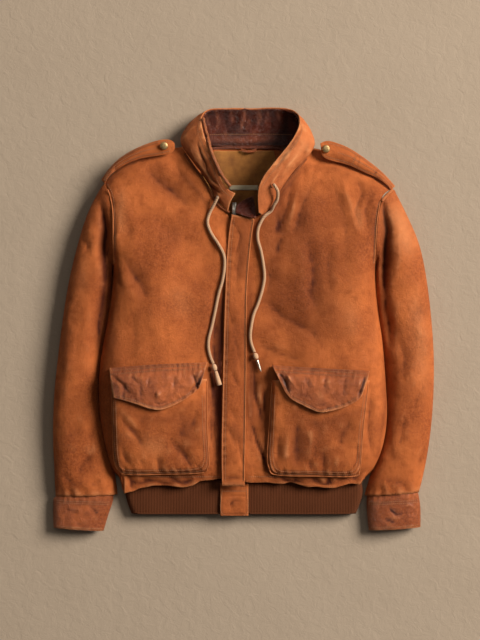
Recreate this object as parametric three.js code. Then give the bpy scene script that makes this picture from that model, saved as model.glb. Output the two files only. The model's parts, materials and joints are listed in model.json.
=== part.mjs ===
// A worn leather flying jacket, zipped up and laid on its back on a level surface.
//
// Frame: +X towards the wearer's left sleeve, +Y towards the collar, +Z up, origin under the middle
// of the whole jacket on the surface that it rests on. Units are millimetres.
//
// Every leather piece is a thin wall, lofted from rows of points. The two fronts share one height
// function, frontHeight, and what lies on them is made from the same function, moved out. The back
// lies on the surface with its side seams lifted, and each sleeve is a tube whose inner edge is
// tucked under the side of the body.
import * as THREE from "three";

const { abs, cos, exp, hypot, max, min, PI, sin, sqrt } = Math;
const { clamp, lerp, smoothstep } = THREE.MathUtils;

// ---- Driving dimensions -------------------------------------------------------------------------
const leather = 2; // wall of the body, sleeves and collar
const thinLeather = 1.6; // wall of the collar facing and the straps
const knit = 3; // doubled ribbed knit
const liningCloth = 1.2;
const seamGap = 0.3; // between two pieces sewn edge to edge
const layGap = 0.5; // between a piece and what it lies on
const hemY = -300; // seam between the leather body and the knit waistband
const hemEndY = -364; // free edge of the waistband
const bandHeight = 25; // height of the waistband as it lies
const frontGapX = [-22, -13]; // the zip fills the gap between the two fronts
const throatY = 191; // top of the front edges
const cordRadius = 3.5;
const snapRadius = 7.4;

// ---- Small tools --------------------------------------------------------------------------------
const vec = (x, y, z) => new THREE.Vector3(x, y, z);

// A smooth function through knots [at, value], level past both ends.
function through(knots) {
  const last = knots.length - 1;
  const slopes = knots.map((_, i) => {
    const [a, b] = [knots[max(i - 1, 0)], knots[min(i + 1, last)]];
    return (b[1] - a[1]) / (b[0] - a[0]);
  });
  return (at) => {
    if (at <= knots[0][0]) return knots[0][1];
    if (at >= knots[last][0]) return knots[last][1];
    const i = knots.findIndex((knot) => knot[0] > at) - 1;
    const span = knots[i + 1][0] - knots[i][0];
    const t = (at - knots[i][0]) / span;
    const ease = t * t * (3 - 2 * t);
    const bend = span * t * (1 - t) * (slopes[i] * (1 - t) - slopes[i + 1] * t);
    return lerp(knots[i][1], knots[i + 1][1], ease) + bend;
  };
}

// The quarter-round rise from a fold: 0 at the fold, level once t reaches 1.
const roundOff = (t) => sqrt(1 - (1 - clamp(t, 0, 1)) ** 2);
const evenly = (count, from = 0, to = 1) =>
  Array.from({ length: count + 1 }, (_, i) => lerp(from, to, i / count));

// Unit normals of a grid of points. A loop joins each row's end to its start. At a sewn edge,
// square names the axis that the wall's end face is square to.
function normalsOf(rows, { loop = false, side = 1, square = () => null } = {}) {
  const [m, n] = [rows.length, rows[0].length];
  const at = (i, j) => rows[clamp(i, 0, m - 1)][loop ? (j + n) % n : clamp(j, 0, n - 1)];
  return rows.map((row, i) =>
    row.map((_, j) => {
      const along = at(i + 1, j).clone().sub(at(i - 1, j));
      const across = at(i, j + 1).clone().sub(at(i, j - 1));
      const normal = along.cross(across).normalize().multiplyScalar(side);
      const axis = square(i, j);
      if (axis) normal[axis] = 0;
      return normal.normalize();
    }),
  );
}

function movedOut(rows, by, options = {}) {
  const normals = normalsOf(rows, options);
  return rows.map((row, i) => row.map((p, j) => p.clone().addScaledVector(normals[i][j], by)));
}

// A closed wall from rows of points on its outer face. The wall lies on the side away from the
// rows-by-columns normal, or towards it with side = -1.
function wall(rows, thick, options = {}) {
  const { loop = false, side = 1 } = options;
  const [m, n] = [rows.length, rows[0].length];
  const points = [...rows.flat(), ...movedOut(rows, -thick, options).flat()];
  const index = [];
  const quad = (a, b, c, d) => {
    const corners = side > 0 ? [a, b, c, a, c, d] : [a, c, b, a, d, c];
    index.push(...corners);
  };
  const id = (i, j) => i * n + (j % n);
  const shift = m * n;
  for (let i = 0; i < m - 1; i++) {
    for (let j = 0; j < (loop ? n : n - 1); j++) {
      const [a, b, c, d] = [id(i, j), id(i + 1, j), id(i + 1, j + 1), id(i, j + 1)];
      quad(a, b, c, d);
      quad(a + shift, d + shift, c + shift, b + shift);
    }
  }
  for (let j = 0; j < (loop ? n : n - 1); j++) {
    quad(id(0, j), id(0, j + 1), id(0, j + 1) + shift, id(0, j) + shift);
    quad(id(m - 1, j + 1), id(m - 1, j), id(m - 1, j) + shift, id(m - 1, j + 1) + shift);
  }
  if (!loop) {
    for (let i = 0; i < m - 1; i++) {
      quad(id(i + 1, 0), id(i, 0), id(i, 0) + shift, id(i + 1, 0) + shift);
      quad(id(i, n - 1), id(i + 1, n - 1), id(i + 1, n - 1) + shift, id(i, n - 1) + shift);
    }
  }
  const geometry = new THREE.BufferGeometry();
  geometry.setAttribute(
    "position",
    new THREE.Float32BufferAttribute(points.flatMap((p) => p.toArray()), 3),
  );
  geometry.setIndex(index);
  geometry.computeVertexNormals();
  return geometry;
}

// ---- Finishes -----------------------------------------------------------------------------------
const finish = (color, roughness, metalness = 0) =>
  new THREE.MeshStandardMaterial({ color, roughness, metalness });
const tanLeather = finish(0xa8623a, 0.7);
const rubbedLeather = finish(0xa45f40, 0.5);
const darkLeather = finish(0x4a2419, 0.4);
const ribKnit = finish(0x5c3626, 0.95);
const twill = finish(0x8a5a2a, 0.9);
const labelCloth = finish(0xa89a70, 0.9);
const cotton = finish(0xd0a079, 0.9);
const brass = finish(0xb8a268, 0.35, 1);
const zipMetal = finish(0x8a8276, 0.4, 1);

const jacket = new THREE.Group();
function add(name, geometry, material, parent = jacket) {
  const mesh = new THREE.Mesh(geometry, material);
  mesh.name = name;
  parent.add(mesh);
  return mesh;
}

// ---- Outline of the body ------------------------------------------------------------------------
// edge: x of the side seam and then the armhole at a height y. shoulder: y of the shoulder fold at x.
// neck: the front neckline from the zip to the neck point.
const right = {
  sign: -1,
  edge: through([
    [-300, -227], [-294, -236], [-284, -243], [-236, -256], [-190, -264.5], [-133, -268],
    [-79, -264.5], [-21, -254], [24, -245], [90, -240], [158, -240], [195, -241], [226, -246],
    [251, -256],
  ]),
  shoulder: through([[-256, 251], [-226, 282], [-190, 300], [-150, 311], [-113, 316]]),
  tip: [-256, 251],
  armpitY: 98,
  neck: [[-22, 191], [-40, 204], [-53, 221], [-69, 250], [-90, 279], [-107, 304], [-113, 316]],
};
const left = {
  sign: 1,
  edge: through([
    [-300, 222], [-294, 232], [-284, 240], [-254, 253], [-225, 261], [-178, 266], [-138, 264],
    [-77, 260], [-21, 254], [24, 245], [89, 243], [160, 245], [183, 247], [213, 252.5],
    [227, 262], [239, 276],
  ]),
  shoulder: through([[130, 314], [185, 301], [222, 284], [252, 262], [276, 239]]),
  tip: [276, 239],
  armpitY: 98,
  neck: [[-13, 189], [12, 184], [36, 187], [55, 210], [63, 231], [88, 263], [114, 294], [130, 314]],
};
const neckX = [right.neck.at(-1)[0], left.neck.at(-1)[0]];
const middleX = 0;

// ---- Heights of the front and the back ----------------------------------------------------------
const rimHeight = through([[-300, 15], [-285, 22], [-240, 30], [316, 30]]); // side seams
const crownHeight = through([
  [-300, 40], [-270, 50], [-180, 60], [-60, 62], [60, 61], [180, 58], [260, 57], [316, 52],
]);
const sideRound = through([[-300, 40], [-200, 58], [0, 58], [70, 40], [130, 32], [250, 34]]);
const shoulderRound = 44;

// Each front is filled out on its own side, and the two sink together where they meet at the zip.
const troughX = -10;
const troughReach = 178; // from the trough out to the fullest part of a front
const troughDepth = through([[-262, 0], [-200, 5], [-120, 11], [-40, 13], [90, 13], [150, 8], [196, 0]]);
const fullness = through([[-292, 0], [-240, 5], [-170, 9], [-60, 12], [90, 12], [170, 9], [246, 0]]);

function filledOut(x, y) {
  const out = smoothstep(abs(x - troughX), 6, troughReach);
  return fullness(y) * out - troughDepth(y) * (1 - out);
}

// Wide soft folds of the fronts: a trough where deep is positive, a ridge where it is negative.
const frontFolds = [
  { from: [-178, 274], to: [-98, 212], wide: 20, deep: 6 },
  { from: [-222, 108], to: [-172, 58], wide: 17, deep: 5 },
  { from: [-240, 190], to: [-205, 20], wide: 16, deep: -3 },
  { from: [-205, 30], to: [-215, -70], wide: 20, deep: 4 },
  { from: [-60, 180], to: [-34, 60], wide: 16, deep: -3 },
  { from: [-46, 20], to: [-52, -280], wide: 11, deep: 5 },
  { from: [100, 250], to: [66, 120], wide: 14, deep: 5 },
  { from: [150, 250], to: [182, 60], wide: 15, deep: 5 },
  { from: [205, 250], to: [222, 100], wide: 13, deep: 4 },
  { from: [120, 160], to: [138, -60], wide: 20, deep: 5 },
  { from: [40, 20], to: [150, -52], wide: 15, deep: 5 },
  { from: [24, -120], to: [62, -282], wide: 12, deep: 6 },
  { from: [225, 30], to: [236, -120], wide: 14, deep: 3 },
];

function foldDepth(x, y, folds) {
  let depth = 0;
  for (const { from, to, wide, deep } of folds) {
    const [dx, dy] = [to[0] - from[0], to[1] - from[1]];
    const t = ((x - from[0]) * dx + (y - from[1]) * dy) / (dx * dx + dy * dy);
    const off = hypot(x - from[0] - clamp(t, 0, 1) * dx, y - from[1] - clamp(t, 0, 1) * dy);
    const fade = 1 - clamp(abs(2 * t - 1), 0, 1) ** 3 * 0.7;
    depth += deep * fade * exp(-((off / wide) ** 2));
  }
  return depth;
}

const sideAt = (x) => (x < middleX ? right : left);

function frontHeight(x, y) {
  const side = sideAt(x);
  const fromEdge = (side.edge(y) - x) * side.sign;
  const fromShoulder = (side.shoulder(x) - y) * 0.9;
  const atArmhole = 0.72 * smoothstep(y, side.armpitY, side.armpitY + 45);
  const acrossRise = 1 - (1 - roundOff(fromEdge / sideRound(y))) * (1 - atArmhole);
  const rise = acrossRise * roundOff(fromShoulder / shoulderRound);
  const rim = rimHeight(y);
  const crown = crownHeight(y) * (1 - 0.08 * (x / 250) ** 2) + filledOut(x, y) - foldDepth(x, y, frontFolds);
  return rim + (crown - rim) * rise;
}

const sideTuck = 60; // how far in from a side seam the back starts to lift
const shoulderTuck = 42;

function backHeight(x, y) {
  const side = sideAt(x);
  const fromEdge = (side.edge(y) - x) * side.sign;
  const fromShoulder = max((side.shoulder(x) - y) * 0.9, 0);
  const belowArm = 1 - smoothstep(y, side.armpitY - 4, side.armpitY + 40);
  const nearSide = belowArm * (1 - roundOff(fromEdge / sideTuck));
  const outsideNeck = smoothstep(abs(x - (neckX[0] + neckX[1]) / 2), 85, 125);
  const nearShoulder = (1 - roundOff(fromShoulder / shoulderTuck)) * lerp(0.16, 1, outsideNeck);
  return rimHeight(y) * (1 - (1 - nearSide) * (1 - nearShoulder));
}

// ---- Fronts -------------------------------------------------------------------------------------
// A row runs from the side edge to the front edge. Rows go up the side seam and armhole on one side
// and up the zip and round the neckline on the other, and the last row is the shoulder seam.
const throatShare = 0.8; // the share of the rows below the throat
const frontColumns = [0, 0.002, 0.015, 0.05, 0.11, 0.2, 0.31, 0.44, 0.57, 0.7, 0.82, 0.92, 1];
const frontRows = [...evenly(15, 0.03, 0.84), 0.88, 0.92, 0.955, 0.98, 1];

function neckline(side, share) {
  const curve = new THREE.CatmullRomCurve3(side.neck.map(([x, y]) => vec(x, y, 0)));
  return curve.getPoint(share);
}

function frontEdge(side, zipX, v) {
  if (v > throatShare) return neckline(side, (v - throatShare) / (1 - throatShare));
  return vec(zipX, lerp(hemY, side.neck[0][1], v / throatShare), 0);
}

function frontPoint(side, zipX, u, v) {
  const sideY = lerp(hemY, side.tip[1], v);
  const inner = frontEdge(side, zipX, v);
  const x = lerp(side.edge(sideY), inner.x, u);
  const straight = lerp(sideY, inner.y, u);
  const [tip, neck] = [side.tip, side.neck.at(-1)];
  const shoulderLine = lerp(tip[1], neck[1], (x - tip[0]) / (neck[0] - tip[0]));
  const y = straight + v ** 5 * max(side.shoulder(x) - shoulderLine, 0) * (v === 1 ? 1 : 0.9);
  return vec(x, y, frontHeight(x, y));
}

// The leather is fuller than the waistband, so it rolls over it: [along y, height above the band].
const hemRoll = [[0, 0.2], [-0.55, 3.2], [-1, 8], [-0.9, 13]];
const rollDrop = (x) =>
  5 + 4 * sin(x / 19 + 0.6) + 3 * sin(x / 9.5 + 1) + 5 * smoothstep(abs(x), 60, 200);

function rollRow(side, zipX, [along, lift]) {
  return frontColumns.map((u) => {
    const x = lerp(side.edge(hemY + 2), zipX, u);
    const inward = smoothstep(u, 0, 0.05);
    const full = inward * (1 - smoothstep(u, 0.9, 1) * 0.8);
    const z = lerp(rimHeight(hemY), bandHeight + lift * lerp(0.6, 1, full), inward);
    return vec(x, hemY + along * rollDrop(x) * full + 0.6 * lift * (1 - inward), z);
  });
}

// The two panels meet face to face along the side and shoulder, and at the armhole they face the
// sleeve.
const sewn = (rows) => (i, j) => {
  if (i === rows.length - 1) return "z";
  if (j > 0 && j < rows[i].length - 1) return null;
  const { x, y } = rows[i][j];
  if (abs(x) < 200) return null;
  return frontHeight(x, y) - backHeight(x, y) < 9 ? "z" : "x";
};

function frontGeometry(side, zipX) {
  const rows = hemRoll.map((step) => rollRow(side, zipX, step));
  for (const v of frontRows) rows.push(frontColumns.map((u) => frontPoint(side, zipX, u, v)));
  return wall(rows, leather, { side: side.sign, square: sewn(rows) });
}

add("front_right", frontGeometry(right, frontGapX[0]), tanLeather);
add("front_left", frontGeometry(left, frontGapX[1]), tanLeather);

// ---- Back ---------------------------------------------------------------------------------------
const backColumns = [0, 0.003, 0.03, 0.08, 0.13, 0.22, 0.4, 0.6, 0.78, 0.87, 0.92, 0.97, 0.997, 1];
const backRows = [0, 0.02, 0.05, 0.15, 0.28, 0.42, 0.55, 0.64, 0.72, 0.82, 0.9, 0.96, 1];

function backTop(x) {
  if (x < neckX[0]) return right.shoulder(x);
  if (x > neckX[1]) return left.shoulder(x);
  return lerp(right.neck.at(-1)[1], left.neck.at(-1)[1], (x - neckX[0]) / (neckX[1] - neckX[0]));
}

function backPoint(u, v) {
  const [yRight, yLeft] = [lerp(hemY, right.tip[1], v), lerp(hemY, left.tip[1], v)];
  const x = lerp(right.edge(yRight), left.edge(yLeft), u);
  const topLine = lerp(right.tip[1], left.tip[1], (x - right.tip[0]) / (left.tip[0] - right.tip[0]));
  const y = lerp(yRight, yLeft, u) + v ** 3 * max(backTop(x) - topLine, 0);
  const underHem = 7 * (1 - smoothstep(y, hemY, hemY + 24));
  return vec(x, y, max(backHeight(x, y) - 1.5 * seamGap - underHem, 0));
}

const backGrid = backRows.map((v) => backColumns.map((u) => backPoint(u, v)));
add("back", wall(backGrid, leather, { square: sewn(backGrid) }), tanLeather);

// ---- Sleeves ------------------------------------------------------------------------------------
// Rings run from the armhole to the cuff: outer and inner are the two folds of the flattened tube.
// The inner fold is tucked under the side of the body.
const sleeves = {
  right: {
    body: right,
    outer: [
      [-256, 251], [-272, 226], [-290, 196], [-300, 165], [-309, 134], [-318, 100], [-325, 68],
      [-331, 34], [-336, 0], [-342, -45], [-347, -89], [-351.5, -125], [-354.5, -160],
      [-355.5, -224], [-353, -269], [-351, -300], [-349, -331],
    ],
    inner: [
      [-240, 98], [-240, 90], [-240.5, 76], [-241, 58], [-242, 38], [-244, 14], [-249, -16],
      [-255, -46], [-260.5, -80], [-263, -112], [-264, -142], [-262, -170], [-259, -200],
      [-251, -236], [-243, -270], [-237, -302], [-234, -328],
    ],
    cuff: { outer: [[-352, -327], [-353.5, -334], [-354, -358], [-353, -390]], inner: [[-236, -324], [-241, -333], [-251, -362], [-260, -396]] },
  },
  left: {
    body: left,
    outer: [
      [276, 239], [288, 220], [301, 196], [314, 170], [326, 144], [334, 110], [341, 77], [347, 28],
      [351.5, -22], [354, -56], [355, -89], [354.5, -134], [352, -178], [348, -218], [343, -256],
      [335, -292], [327, -324],
    ],
    inner: [
      [245, 98], [242, 88], [241, 72], [240, 52], [242, 26], [246, -2], [250, -32], [254, -62],
      [258, -96], [261, -128], [262, -156], [261, -184], [259, -212], [253, -244], [243, -274],
      [231, -304], [225, -330],
    ],
    cuff: { outer: [[328, -321], [328, -330], [329.5, -358], [329, -389]], inner: [[226, -327], [228, -337], [230, -364], [233, -395]] },
  },
};
const ringSteps = 9; // points along the top of a ring, and as many below
const sleeveTop = through([[0, 52], [0.12, 57], [0.3, 55], [0.6, 50], [0.85, 45], [1, 40]]);
const innerFoldHeight = through([[0, 28], [0.05, 14], [0.1, 7], [0.84, 6], [0.93, 10], [1, 16]]);
const outerFoldHeight = through([[0, 29], [0.1, 24], [0.5, 20], [1, 18]]);

// Soft bends of the sleeves: the elbow creases and the long slack fold beside the body.
const sleeveFolds = {
  right: [
    { from: [-262, 150], to: [-300, 60], wide: 16, deep: 6 },
    { from: [-274, 40], to: [-332, -20], wide: 13, deep: 5 },
    { from: [-268, -30], to: [-345, -62], wide: 14, deep: 5 },
    { from: [-276, -120], to: [-340, -200], wide: 17, deep: 4 },
    { from: [-272, -300], to: [-330, -262], wide: 13, deep: 5 },
    { from: [-310, 60], to: [-338, -140], wide: 15, deep: -3 },
  ],
  left: [
    { from: [256, 180], to: [262, 40], wide: 12, deep: 9 },
    { from: [268, 60], to: [330, 20], wide: 15, deep: 5 },
    { from: [276, -30], to: [342, -70], wide: 15, deep: 5 },
    { from: [280, -130], to: [340, -210], wide: 17, deep: 4 },
    { from: [262, -290], to: [316, -262], wide: 12, deep: 5 },
    { from: [300, 120], to: [330, -60], wide: 15, deep: -3 },
  ],
};

const curveThrough = (points) => new THREE.CatmullRomCurve3(points.map(([x, y, z = 0]) => vec(x, y, z)));

function ring(inner, outer, zInner, zOuter, top, point = () => null) {
  const points = [];
  for (let k = 0; k < 2 * ringSteps; k++) {
    const t = 0.5 - 0.5 * cos((PI * k) / ringSteps);
    const [x, y] = [lerp(inner.x, outer.x, t), lerp(inner.y, outer.y, t)];
    const fold = lerp(zInner, zOuter, t);
    const full = 1 - abs(2 * t - 1) ** 2.4;
    const z = k <= ringSteps ? fold + (top - fold) * full ** 0.6 : fold * (1 - full ** 0.5);
    const moved = point(t, k <= ringSteps, x, y, z);
    points.push(moved ?? vec(x, y, max(z, 0)));
  }
  return points;
}

function sleeveRings(name) {
  const { body, outer, inner } = sleeves[name];
  const [outerCurve, innerCurve] = [curveThrough(outer), curveThrough(inner)];
  const stations = [0, 0.012, 0.05, 0.1, ...evenly(9, 0.16, 1)];
  return stations.map((s) => {
    const asArmhole = 1 - smoothstep(s, 0.01, 0.16);
    const drift = s * body.sign * 90;
    return ring(
      innerCurve.getPoint(s), outerCurve.getPoint(s), innerFoldHeight(s), outerFoldHeight(s), sleeveTop(s),
      (t, onTop, x, y, z) => {
        const holeY = lerp(body.armpitY, body.tip[1], t);
        const holeX = body.edge(holeY) + body.sign * seamGap;
        const fold = onTop ? foldDepth(x, y, sleeveFolds[name]) * (1 - abs(2 * t - 1) ** 2) : 0;
        const height = onTop ? frontHeight(holeX, holeY) : backHeight(holeX, holeY) - 1.5 * seamGap;
        if (s === 0) return vec(holeX, holeY, max(height, 0));
        if (s === 0.012) return vec(holeX + body.sign * 1.2, holeY - 0.5, max(height, 0));
        const level = lerp(z - fold * (1 - asArmhole), height, asArmhole);
        const pull = asArmhole ** 2;
        return vec(lerp(x, holeX + drift, pull), lerp(y, holeY, pull), max(level, 0));
      },
    );
  });
}

for (const name of ["right", "left"]) {
  const side = sleeves[name].body.sign;
  add(`sleeve_${name}`, wall(sleeveRings(name), leather, { loop: true, side }), tanLeather);
}

// ---- Cuffs --------------------------------------------------------------------------------------
// Each cuff starts just inside the end of its sleeve, which blouses over it a little.
const cuffTop = through([[0, 33], [0.15, 35], [0.5, 33], [1, 31]]);
for (const name of ["right", "left"]) {
  const { cuff, body } = sleeves[name];
  const [outerCurve, innerCurve] = [curveThrough(cuff.outer), curveThrough(cuff.inner)];
  const rings = evenly(3).map((s) => {
    const [a, b] = [innerCurve.getPoint(s), outerCurve.getPoint(s)];
    const tuck = 0.05 * (1 - smoothstep(s, 0, 0.22));
    a.y -= 7 * (1 - s);
    b.y -= 7 * (1 - s);
    return ring(a.clone().lerp(b, tuck), b.clone().lerp(a, tuck), 15, 15, cuffTop(s));
  });
  add(`cuff_${name}`, wall(rings, 2.6, { loop: true, side: body.sign }), rubbedLeather);
}

// ---- Knit waistband and its tab -----------------------------------------------------------------
// The band runs from the tab round one side, across the back and round the other side to the tab.
const bandEnds = [-40, 6];
const bandSide = [through([[-364, -209], [-345, -217], [-320, -222], [-300, -220]]), through([[-364, 210], [-345, 218], [-320, 225], [-300, 218]])];

function bandRow(y) {
  const [xRight, xLeft] = [bandSide[0](y), bandSide[1](y)];
  const top = bandHeight - 2.5 * smoothstep(-y, 335, 364);
  const middle = top / 2;
  const round = 16;
  const row = [];
  const front = (x) => top + 0.8 * sin(x / 17) - 0.8;
  for (const t of evenly(6)) row.push(vec(lerp(bandEnds[0], xRight + round, t), y, front(lerp(bandEnds[0], xRight, t))));
  for (const a of evenly(4, 1 / 6, 5 / 6)) row.push(vec(xRight + round * (1 - sin(PI * a)), y, middle + middle * cos(PI * a)));
  for (const t of evenly(6)) row.push(vec(lerp(xRight + round, xLeft - round, t), y, 0));
  for (const a of evenly(4, 5 / 6, 1 / 6)) row.push(vec(xLeft - round * (1 - sin(PI * a)), y, middle + middle * cos(PI * a)));
  for (const t of evenly(6)) row.push(vec(lerp(xLeft - round, bandEnds[1], t), y, front(lerp(xLeft, bandEnds[1], t))));
  return row;
}
add("waistband", wall(evenly(3, hemY - 0.6, hemEndY).map(bandRow), knit, { side: -1 }), ribKnit);

const tabRows = evenly(4, -312, -367).map((y) =>
  evenly(3, -43, 9).map((x) => vec(x, y, bandHeight + 0.4 + thinLeather + 1 - 2 * smoothstep(-y, 345, 367) ** 2)),
);
add("hem_tab", wall(tabRows, thinLeather + 0.6), tanLeather);

// ---- Zip and storm flap -------------------------------------------------------------------------
const zipRows = evenly(14).map((v) => {
  const y = lerp(hemY + 8, throatY + 20, v);
  const sink = lerp(0.6, 0, smoothstep(y, throatY - 8, throatY + 4));
  return [frontGapX[0] + 0.6, (frontGapX[0] + frontGapX[1]) / 2, frontGapX[1] - 0.6].map((x) => vec(x, y, frontHeight(x, min(y, 196)) - sink));
});
add("zip", wall(zipRows, 2, { side: -1 }), zipMetal);

const flapRight = through([[-304, -40], [-239, -40.5], [-110, -38], [-24, -36], [38, -34], [107, -31], [155, -27], [190, -22]]);
const flapLeft = through([[-304, 2], [-109, 5], [14, 5.5], [62, 7], [103, 10], [150, 15], [181, 20]]);
const flapRows = evenly(16).map((v) => evenly(4).map((u) => {
  const y = lerp(-303, lerp(189, 181, u), v);
  const x = lerp(flapRight(y), flapLeft(y), u);
  const raise = layGap + 3.4 + 1.6 * sin(PI * clamp(u, 0, 1)) + 1.2 * sin(y / 31 + 1) * (1 - u);
  return vec(x, y, frontHeight(x, y) + raise + (y < -296 ? 2 : 0));
}));
add("storm_flap", wall(flapRows, leather, { side: -1 }), tanLeather);

// ---- Collar -------------------------------------------------------------------------------------
// The collar is a standing band. Sections go from the neck seam to the free edge; it leans inward at
// the sides, and at the back it lies open on the surface with its facing up.
const onNeck = (side, share, lift = 1.7) => {
  const { x, y } = neckline(side, share);
  return [x, y, frontHeight(x, y) + lift];
};
const collarSections = [
  [onNeck(right, 0.06), [-24, 211, 70], [-15, 226, 75]],
  [onNeck(right, 0.28), [-47, 229, 74], [-34, 235, 81]],
  [onNeck(right, 0.5), [-62, 254, 74], [-43, 257, 84]],
  [onNeck(right, 0.72), [-82, 284, 71], [-54, 284, 83]],
  [onNeck(right, 0.9, 2.2), [-101, 310, 64], [-66, 312, 79]],
  [[-116, 322, 29], [-114, 336, 45], [-75, 343, 66]],
  [[-99, 323, 13], [-107, 356, 24], [-79, 371, 44]],
  [[-76, 321, 5.5], [-82, 366, 9], [-66, 388, 25]],
  [[-40, 320, 4.5], [-42, 364, 4.5], [-38, 389, 20]],
  [[5, 319, 4.5], [5, 362, 4.2], [5, 389, 17]],
  [[50, 319, 4.5], [52, 364, 4.5], [50, 390, 19]],
  [[92, 320, 5.5], [96, 364, 9], [86, 388, 26]],
  [[116, 322, 13], [121, 354, 24], [104, 374, 44]],
  [[133, 320, 30], [130, 335, 46], [101, 347, 68]],
  [onNeck(left, 0.93, 2.2), [121, 305, 64], [88, 321, 80]],
  [onNeck(left, 0.78), [101, 284, 72], [64, 292, 86]],
  [onNeck(left, 0.62), [76, 256, 76], [42, 265, 87]],
  [onNeck(left, 0.46), [57, 230, 76], [27, 240, 85]],
  [onNeck(left, 0.32), [43, 208, 75], [26, 214, 83]],
  [onNeck(left, 0.2, 3), [33, 187, 70], [28, 191, 78]],
];

function collarRows(count) {
  const lines = [0, 1, 2].map((k) => curveThrough(collarSections.map((section) => section[k])));
  return evenly(count).map((s) => {
    const [base, middle, edge] = lines.map((line) => line.getPoint(s));
    return evenly(5).map((t) => {
      const control = middle.clone().multiplyScalar(2).sub(base.clone().add(edge).multiplyScalar(0.5));
      const bowed = new THREE.QuadraticBezierCurve3(base, control, edge);
      return bowed.getPoint(t);
    });
  });
}
const collar = collarRows(25);
add("collar", wall(collar, leather, { side: -1 }), tanLeather);
const facing = movedOut(collar, -leather - seamGap, { side: -1 });
add("collar_facing", wall(facing, thinLeather, { side: -1 }), darkLeather);

// The shadowed end of the left facing, which crosses the throat above the top of the storm flap.
const throatRows = [
  [[-15, 193, 65], [5, 184, 67], [23, 182, 68]],
  [[-14, 200, 64], [4, 200, 64], [22, 203, 64]],
  [[-12, 208, 60], [3, 218, 56], [18, 224, 56]],
];
add("throat_facing", wall(throatRows.map((row) => row.map((p) => vec(...p))), thinLeather, { side: -1 }), darkLeather);

// ---- Neck lining, label and hanger loop ---------------------------------------------------------
const liningEdge = [through([[180, -60], [250, -74], [290, -78], [311, -68]]), through([[180, 60], [250, 72], [280, 64], [311, 56]])];
const liningHeight = (x, y) => max(backHeight(x, y), 0) + leather + layGap + 0.8 + liningCloth + 3 * smoothstep(y, 276, 311) * smoothstep(abs(x), 35, 66);
const liningRows = evenly(6, 178, 311).map((y) =>
  evenly(7).map((u) => {
    const x = lerp(liningEdge[0](y), liningEdge[1](y), u);
    return vec(x, y, liningHeight(x, y));
  }),
);
add("neck_lining", wall(liningRows, liningCloth, { side: -1 }), twill);

const labelRows = [238, 247].map((y) => evenly(4, -27, 27).map((x) => vec(x, y, liningHeight(x, y) + layGap + 0.8)));
add("neck_label", wall(labelRows, 0.8, { side: -1 }), labelCloth);

const loopRows = evenly(8).map((t) => {
  const [x, y] = [lerp(-5, 24, t), 312.5 - 3.5 * sin(PI * t)];
  const z = 11.5 + 3 * sin(PI * t);
  return [vec(x, y - 2.6, z), vec(x, y + 2.6, z + 0.4)];
});
add("hanger_loop", wall(loopRows, 1.4, { side: 1 }), rubbedLeather);

// ---- Pockets ------------------------------------------------------------------------------------
// Bellows bags: open at the mouth, which lies under the flap, with sides that stand off the front.
const pockets = {
  right: {
    left: through([[-292, -222], [-274, -238], [-198, -241], [-100, -245]]),
    right: through([[-287, -68], [-264, -62], [-198, -66], [-100, -67]]),
    top: -112, bottom: [-291, -286], rise: 12,
  },
  left: {
    left: through([[-292, 60], [-276, 46], [-254, 42], [-198, 46], [-100, 53]]),
    right: through([[-292, 204], [-274, 216], [-243, 218], [-198, 220], [-120, 230], [-100, 231]]),
    top: -114, bottom: [-292, -295], rise: 12,
  },
};
const bagColumns = [0, 0.02, 0.06, 0.2, 0.4, 0.6, 0.8, 0.94, 0.98, 1];
const bagRows = [0, 0.25, 0.5, 0.75, 0.92, 0.97, 1];

for (const [name, { left: a, right: b, top, bottom, rise }] of Object.entries(pockets)) {
  const rows = bagRows.map((v) => bagColumns.map((u) => {
    const level = lerp(bottom[0], bottom[1], u);
    const corner = 10 * (1 - roundOff(min(u, 1 - u) * 9));
    const y = lerp(top, level + corner, v);
    const x = lerp(a(y), b(y), u);
    const rim = roundOff(min(u, 1 - u) / 0.06) * roundOff((1 - v) / 0.08);
    const slack = 0.85 + 0.15 * sin(u * 5 + v * 4);
    return vec(x, y, frontHeight(x, y) + 4.1 + (rise - 1) * rim * slack);
  }));
  add(`pocket_${name}`, wall(rows, 1.8, { side: 1 }), tanLeather);
}

// Flaps: each hangs over its bag from its top seam and is pressed to a shallow point at the snap.
const flaps = {
  right: {
    top: [[-246, -92], [-157, -85], [-66, -82]],
    low: [[-237, -145], [-200, -155], [-172, -165], [-151, -168], [-128, -160], [-105, -148], [-80, -128]],
    snap: [-151, -142],
  },
  left: {
    top: [[52, -87], [140, -92], [231, -97]],
    low: [[72, -128], [84, -147], [112, -161], [137, -173], [165, -168], [190, -160], [213, -146]],
    snap: [138, -147],
  },
};
for (const [name, { top, low, snap }] of Object.entries(flaps)) {
  const [topEdge, lowEdge] = [curveThrough(top), curveThrough(low)];
  const rows = [0, 0.12, 0.3, 0.5, 0.68, 0.84, 1].map((v) => evenly(10).map((u) => {
    const p = topEdge.getPoint(u).lerp(lowEdge.getPoint(u), v);
    const bump = 2.6 * exp(-((hypot(p.x - snap[0], p.y - snap[1]) / 11) ** 2));
    const over = 16.5 * smoothstep(v, 0, 0.26) + 3.4;
    return vec(p.x, p.y, frontHeight(p.x, p.y) + over + 1.5 * sin(u * 7) * v + bump);
  }));
  add(`pocket_flap_${name}`, wall(rows, leather, { side: 1 }), rubbedLeather);
}

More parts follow.
